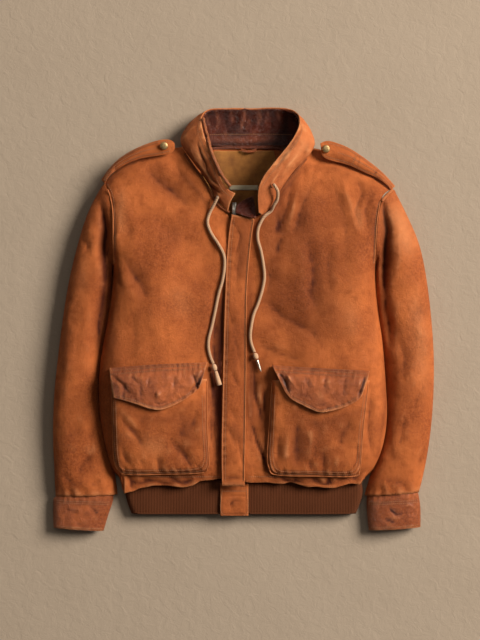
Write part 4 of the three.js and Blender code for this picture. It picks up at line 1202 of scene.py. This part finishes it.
def spline(points, step):
    # an even run of points on a smooth curve through the given ones
    points = [Vector(point) for point in points]
    points = [points[0] * 2 - points[1], *points, points[-1] * 2 - points[-2]]
    fine = []
    for a, b, c, d in zip(points, points[1:], points[2:], points[3:]):
        count = max(2, int((c - b).length / step * 2))
        for k in range(count):
            t = k / count
            square, cube = 2 * a - 5 * b + 4 * c - d, 3 * b - a - 3 * c + d
            fine.append(0.5 * ((2 * b) + (c - a) * t + square * t * t + cube * t ** 3))
    fine.append(points[-2])
    even, left = [fine[0]], step
    for a, b in zip(fine, fine[1:]):
        gap = (b - a).length
        while gap >= left:
            a = a + (b - a) * (left / gap)
            even.append(a)
            gap -= left
            left = step
        left -= gap
    if (fine[-1] - even[-1]).length > step * 0.3:
        even.append(fine[-1])
    return even


def cordRings(shape, count):
    # a circle drawn out ring by ring, with each ring's points in the same order
    radius = cordShape["radius"]
    circle = bmesh.ops.create_circle(shape, segments=cordShape["sides"], radius=radius, cap_ends=True)
    rings = [circle["verts"]]
    edges = list(shape.edges)
    bmesh.ops.delete(shape, geom=shape.faces[:], context="FACES_ONLY")
    for _ in range(count - 1):
        made = bmesh.ops.extrude_edge_only(shape, edges=edges)["geom"]
        rings.append([item for item in made if isinstance(item, bmesh.types.BMVert)])
        ringEdges = [item for item in made if isinstance(item, bmesh.types.BMEdge)]
        edges = [edge for edge in ringEdges if all(vert in rings[-1] for vert in edge.verts)]
    flat = [vert.co.copy() for vert in rings[0]]
    return [[min(ring, key=lambda vert: (vert.co - place).length) for place in flat] for ring in rings]


def cordMesh(name, route):
    # twisted strands along the route, with the painted shade of their grooves marked
    line = spline(route, cordShape["step"])
    turnPerStep = 2 * math.pi * cordShape["step"] / cordShape["lay"]
    shape = bmesh.new()
    groove = shape.verts.layers.float.new("groove")
    rings = cordRings(shape, len(line))
    side = Vector((1, 0, 0))
    for k, (place, ring) in enumerate(zip(line, rings)):
        ahead = (line[min(k + 1, len(line) - 1)] - line[max(k - 1, 0)]).normalized()
        side = (side - ahead * side.dot(ahead)).normalized()
        up = ahead.cross(side)
        for j, vert in enumerate(ring):
            angle = 2 * math.pi * j / len(ring)
            lobe = abs(math.sin(cordShape["lobes"] / 2 * (angle - turnPerStep * k)))
            reach = cordShape["radius"] * (1 - cordShape["groove"] + cordShape["groove"] * lobe)
            # painted shade, marked down in the grooves
            vert[groove] = (1 - lobe) ** cordShape["grooveEdge"]
            vert.co = place + side * (reach * math.cos(angle)) + up * (reach * math.sin(angle))
    for ring in (rings[0], rings[-1]):
        shape.faces.new(ring)
    bmesh.ops.recalc_face_normals(shape, faces=shape.faces)
    bmesh.ops.scale(shape, vec=(mm, mm, mm), verts=shape.verts)
    mesh = bpy.data.meshes.new(name)
    shape.to_mesh(mesh)
    shape.free()
    return mesh, [tuple(place * mm) for place in line]


ground = groundUnder([panels["frontRight"], panels["frontLeft"], flap])
for side, route in cordRoutes.items():
    laid = [(x, y, z or ground(x, y) + cordShape["radius"] + cordShape["clear"]) for x, y, z in route]
    mesh, path = cordMesh(f"cord{side}", laid)
    cord = finished(f"cord{side}", mesh, braidCotton, "cotton_cord", f"cord_{side.lower()}")
    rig.cord(
        cord, exit=path[0], length=round(lengthOf(path), 2), diameter=2 * cordShape["radius"] * mm,
        far_end="knot", stiffness="limp", lay="loose", path=path,
    )
print("cords laid")

for nodeName, material, slot in (
    ("cord_knot_right", braidCotton, "cotton_cord"), ("cord_tassel_right", braidCotton, "cotton_cord"),
    ("cord_knot_left", braidCotton, "cotton_cord"), ("cord_tip_left", zipMetal, "zip_metal"),
):
    first, *others = nodeName.split("_")
    pieceName = first + "".join(word.title() for word in others)
    finished(pieceName, refined(nodeName, 2, 40), material, slot, nodeName)


# welts and seam rolls
fronts = [panels["frontRight"], panels["frontLeft"]]
eyelet = {"at": (53.7, 241), "radius": 4.0, "points": 12}
welt = {
    "sunk": 0.35,            # how high its middle lies above the leather, as a share of its radius
    "step": 3.0, "rub": 0.35,
    "knobs": (1.9, 0.7),     # the two beats that make a gathered roll uneven
}


def eyeletRing():
    x, y = eyelet["at"]
    radius, count = eyelet["radius"], eyelet["points"]
    turns = [2 * math.pi * k / count for k in range(count + 1)]
    return [(x + radius * math.cos(turn), y + radius * math.sin(turn)) for turn in turns]


# for each: the pieces it lies on, its leather, its radius, its paths and how it differs
weltPaths = {
    "pocketWelts": ([bags["right"], bags["left"]], tanLeather, 1.0, [
        [(-240.5, -116), (-240, -200), (-237.5, -264), (-226, -285), (-210, -288.5), (-150, -288),
            (-78, -285), (-66, -276), (-63.5, -262), (-66.5, -198), (-67, -116)],
        [(52, -118), (47, -198), (43.5, -254), (47, -276), (60, -289), (130, -291), (202, -291.5),
            (213, -282), (216.5, -243), (219, -198), (228, -120)],
    ], {}),
    "flapWelts": ([flap], tanLeather, 0.9, [
        [(-39, -301), (-39.5, -239), (-37, -110), (-35, -24), (-33, 38), (-30, 107), (-26, 155),
            (-21, 187)],
        [(1, -300), (4, -109), (4.5, 14), (6, 62), (9, 103), (14, 150), (18.5, 180)],
    ], {}),
    # the neck seam's roll is darkened as painted shadow under the collar's edge
    "neckSeam": (fronts, tanLeather, 2.4, [
        [(-26, 193), (-42, 203), (-55, 220), (-71, 249), (-92, 278), (-108, 302)],
        [(38, 186), (57, 209), (65, 230), (90, 262), (115, 292)],
    ], {"soil": 0.75}),
    "standSeam": ([lining], facingLeather, 2.9, [
        [(-72, 309, 14), (-62, 314, 9.5), (-40, 316.5, 7.5), (0, 316.8, 7), (42, 316.8, 7.5),
            (64, 315.5, 9.5), (76, 311, 14)],
    ], {}),
    "bandEnds": ([band], ribKnit, 1.4,
        [[(-46, -363), (-120, -363.2), (-196, -363)], [(12, -363), (100, -363.2), (198, -363)]], {}),
    "armholeSeams": (fronts, tanLeather, 1.2, [
        [(-250, 236), (-245, 222), (-240, 195), (-239, 158), (-239, 120), (-238.5, 100)],
        [(263, 227), (257, 220), (250.5, 212), (245.5, 183), (243.5, 160), (241.5, 120), (240.5, 100)],
    ], {}),
    "shoulderSeam": ([sleeves["left"], panels["frontLeft"]], tanLeather, 2.6, [
        [(254, 214), (260, 222), (267, 229), (275, 236)],
    ], {"spread": 5.0}),
    "collarRoll": ([collar, facing], rubbedLeather, 3.2, [
        [(-74, 366), (-72, 354), (-66, 330), (-58.5, 301), (-48.5, 277), (-38, 257), (-24, 238)],
    ], {"spread": 4.0, "knobs": 0.22, "soil": 0.3}),
    "cordEyelet": ([collar], collarLeather, 1.0, [eyeletRing()], {}),
}


def layWelts(name, pieces, paths, radius, material, spread=0.6, knobs=0.0, soil=0.0):
    # piped edges and rolled seams, laid on the leather below them
    height = groundUnder(pieces)
    curve = bpy.data.curves.new(name, "CURVE")
    curve.dimensions = "3D"
    curve.bevel_depth = radius * mm
    curve.bevel_resolution = 2
    curve.use_fill_caps = True
    for path in paths:
        line = spline([(*point, 0)[:3] for point in path], welt["step"])
        highs = [place.z or height(place.x, place.y, spread) for place in line]
        resting = [k for k, high in enumerate(highs) if high > 0]
        strand = curve.splines.new("POLY")
        strand.points.add(len(line) - 1)
        for k, (point, place) in enumerate(zip(strand.points, line)):
            # past the edge of the leather it keeps the height of its nearest place on it
            high = highs[min(resting, key=lambda at: abs(at - k))]
            high += 0 if place.z else radius * welt["sunk"]
            point.co = (place.x * mm, place.y * mm, high * mm, 1)
            quick, slow = welt["knobs"]
            point.radius = 1 + knobs * math.sin(k * quick) * math.sin(k * slow)
    mesh = meshOf(newObject("holder", curve))
    # the soil share darkens a roll in place of its pale rub; on the neck seam this is painted shadow
    addMask(mesh, "rub", np.full(len(mesh.vertices), welt["rub"] * (1 - soil)))
    addMask(mesh, "soil", np.full(len(mesh.vertices), soil))
    finished(name, mesh, material, "rib_knit" if material is ribKnit else "leather")


for name, (pieces, material, radius, paths, more) in weltPaths.items():
    layWelts(name, pieces, paths, radius, material, **more)
print("welts laid")


# stitching
stitch = {
    "long": 2.5, "gap": 1.2, "thick": 0.75, "flat": 0.8, "sides": 5, "rings": 4,
    "share": 0.7,                     # of the way to the next stitch
    "raised": 0.12, "steepest": 4,    # above the leather, and the drop from end to end that skips one
}
seamLine = {"width": 1.9, "dark": 0.75, "sink": 0.5, "soil": 0.7, "above": 4}
collarSeam = [(-20, 219), (-38, 232), (-49, 254), (-60, 284), (-74, 314), (-84, 343), (-78, 372)]
collarSeamLeft = [(96, 372), (107, 345), (96, 318), (73, 290), (50, 263), (33, 238)]
seams = {
    "seamsOfBody": ([*fronts, flap, tab], [
        [(-33, -300), (-33.5, -239), (-31, -110), (-29, -24), (-27, 38), (-24, 107), (-20, 155),
            (-16, 184)],
        [(-37.6, -300), (-38, -239), (-35.5, -110), (-33.5, -24), (-31.5, 38), (-28.5, 107), (-24.5, 155),
            (-19.8, 186)],
        [(-1, -300), (2, -109), (2.5, 14), (4, 62), (7, 103), (12, 150), (16, 178)],
        [(-250, 246), (-240, 224), (-236.5, 190), (-235.5, 158), (-235.5, 122), (-236, 100)],
        [(268, 234), (249, 212), (243, 186), (241, 158), (240, 122), (239, 100)],
        [(-214, -290), (-150, -293), (-44, -293)], [(9, -293), (120, -293), (214, -290)],
        [(-39.5, -316), (-39.5, -363), (5.5, -363), (5.5, -316)], [(-40, -321), (6, -321)],
    ]),
    "seamsOfPockets": ([bags["right"], bags["left"]], [
        [(-237, -150), (-236.5, -200), (-234, -262), (-222, -284), (-150, -284), (-80, -281), (-67.5, -262),
            (-70, -200), (-71, -140)],
        [(-232.5, -150), (-232, -200), (-229.5, -258), (-218, -279), (-150, -279.5), (-86, -276.5),
            (-72, -258), (-74.5, -200), (-75.5, -140)],
        [(53, -140), (50.5, -200), (49, -258), (62, -285), (130, -286.5), (198, -287), (212, -268),
            (216, -200), (224, -140)],
        [(57.5, -140), (55, -200), (54, -254), (66, -280.5), (130, -282), (194, -282.5), (207.5, -264),
            (211.5, -200), (219.5, -140)],
    ]),
    "seamsOfFlaps": ([bags["rightFlap"], bags["leftFlap"]], [
        [(-242, -97), (-157, -90), (-70, -87)], [(-241, -103), (-157, -96), (-71, -93)],
        [(-233, -141), (-198, -150), (-172, -160), (-151, -163), (-130, -155.5), (-108, -144), (-84, -126)],
        [(56, -92), (140, -97), (227, -102)], [(57, -98), (140, -103), (226, -108)],
        [(75, -126), (87, -143), (112, -156), (137, -168), (163, -163), (188, -155), (210, -141)],
    ]),
    "seamsOfStraps": ([straps["right"], straps["left"]], [
        [(-254, 252), (-244, 267), (-220, 284.5), (-187, 297), (-150, 302.5), (-134, 306)],
        [(-258, 253), (-243, 279), (-217, 299), (-185, 314), (-152, 323), (-134, 323)],
        [(-256, 252.5), (-243.5, 273), (-218, 292), (-186, 305), (-160, 311)],
        [(270, 238), (262, 249), (239, 264), (219, 271), (198, 282), (175, 289.5), (152, 295), (146, 301)],
        [(277, 242), (258, 263), (234.5, 281), (213, 296), (190.5, 310), (170.5, 317), (154, 321)],
        [(274, 240), (260, 256), (237, 272), (216, 283.5), (195, 295.5), (172, 303)],
        [(200, 283), (207, 300)],
    ]),
    "seamsOfCuffs": ([sleeves["rightCuff"], sleeves["leftCuff"]], [
        [(-347, -339), (-300, -340), (-248, -342)], [(-347, -386), (-300, -389), (-262, -391)],
        [(-347, -343), (-300, -344), (-249, -346)],
        [(232, -342), (280, -340), (325, -338)], [(236, -389), (280, -387), (325, -384)],
        [(232, -346), (280, -344), (325, -342)],
    ]),
    "seamsOfCollar": ([collar, facing],
        [collarSeam, collarSeamLeft, [(-82, 340), (-40, 342), (5, 342), (50, 342), (92, 341)]]),
}


def oneStitch(row, start, end):
    # a flattened bead from one place on the leather to the other
    run = end[0] - start[0]
    ahead = run.normalized()
    up = (start[1] + end[1]).normalized()
    side = up.cross(run).normalized()
    place = (start[0] + end[0]) / 2 + up * (stitch["raised"] * mm)
    turn = Matrix((ahead, side, ahead.cross(side))).transposed().to_4x4()
    thick = stitch["thick"]
    size = Matrix.Diagonal((stitch["long"] / 2 * mm, thick * mm, thick * stitch["flat"] * mm, 1))
    bmesh.ops.create_uvsphere(
        row, u_segments=stitch["sides"], v_segments=stitch["rings"], radius=1,
        matrix=Matrix.Translation(place) @ turn @ size @ Matrix.Rotation(math.pi / 2, 4, "Y"),
    )


def sewOn(pieces, paths):
    # stitches laid along each path where it falls on the pieces
    trees = treesOf(pieces)

    def under(x, y):
        return max(hitsUnder(trees, x, y), key=lambda hit: hit[0].z, default=None)

    rows = bmesh.new()
    for path in paths:
        row = bmesh.new()
        line = spline([(x, y, 0) for x, y in path], stitch["long"] + stitch["gap"])
        for a, b in zip(line, line[1:]):
            share = stitch["share"]
            start, end = under(a.x, a.y), under(a.x + (b.x - a.x) * share, a.y + (b.y - a.y) * share)
            if start and end and abs(start[0].z - end[0].z) <= stitch["steepest"] * mm:
                oneStitch(row, start, end)
        scrap = bpy.data.meshes.new("row")
        row.to_mesh(scrap)
        row.free()
        rows.from_mesh(scrap)
        bpy.data.meshes.remove(scrap)
    return rows


def darken(pieces, paths):
    # the thread draws the leather down into a narrow dark line
    for piece in pieces:
        points = pointsOf(piece.data)
        creases = [(path, seamLine["width"], seamLine["dark"]) for path in paths]
        line = foldField(points[:, :2], creases) * (points[:, 2] > seamLine["above"])
        soil = np.empty(len(points))
        piece.data.attributes["soil"].data.foreach_get("value", soil)
        points[:, 2] -= seamLine["sink"] * line
        putPoints(piece.data, points)
        addMask(piece.data, "soil", soil + seamLine["soil"] * line)


for name, (pieces, paths) in seams.items():
    darken(pieces, paths)
    rows = sewOn(pieces, paths)
    mesh = bpy.data.meshes.new(name)
    rows.to_mesh(mesh)
    rows.free()
    finished(name, mesh, seamThread, "leather")
print("stitching sewn")


# floor
floorLook = {"half": 6, "dark": (0.355, 0.275, 0.20), "light": (0.405, 0.318, 0.235), "bump": 1.2}


def layFloor():
    shape = bmesh.new()
    bmesh.ops.create_grid(shape, x_segments=1, y_segments=1, size=floorLook["half"])
    mesh = bpy.data.meshes.new("floor")
    shape.to_mesh(mesh)
    shape.free()
    floor = newObject("floor", mesh)
    material, tree, shader, place = newMaterial("palePlaster")
    cloud = noiseOf(tree, place, 9.0, 6.0, 0.6)
    tree.links.new(mixColour(tree, cloud, floorLook["dark"], floorLook["light"]),
        shader.inputs["Base Color"])
    bumped(tree, shader, noiseOf(tree, place, 60.0, 6.0, 0.65, 0.6), floorLook["bump"])
    shader.inputs["Roughness"].default_value = 0.9
    mesh.materials.append(material)
    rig.stage(floor)


layFloor()

with open("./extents.json", "w") as out:
    json.dump({"cad": [[float(v) for v in corner] for corner in cadBox], "visual": [[float(v) for v in corner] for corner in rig.bounds()]}, out)
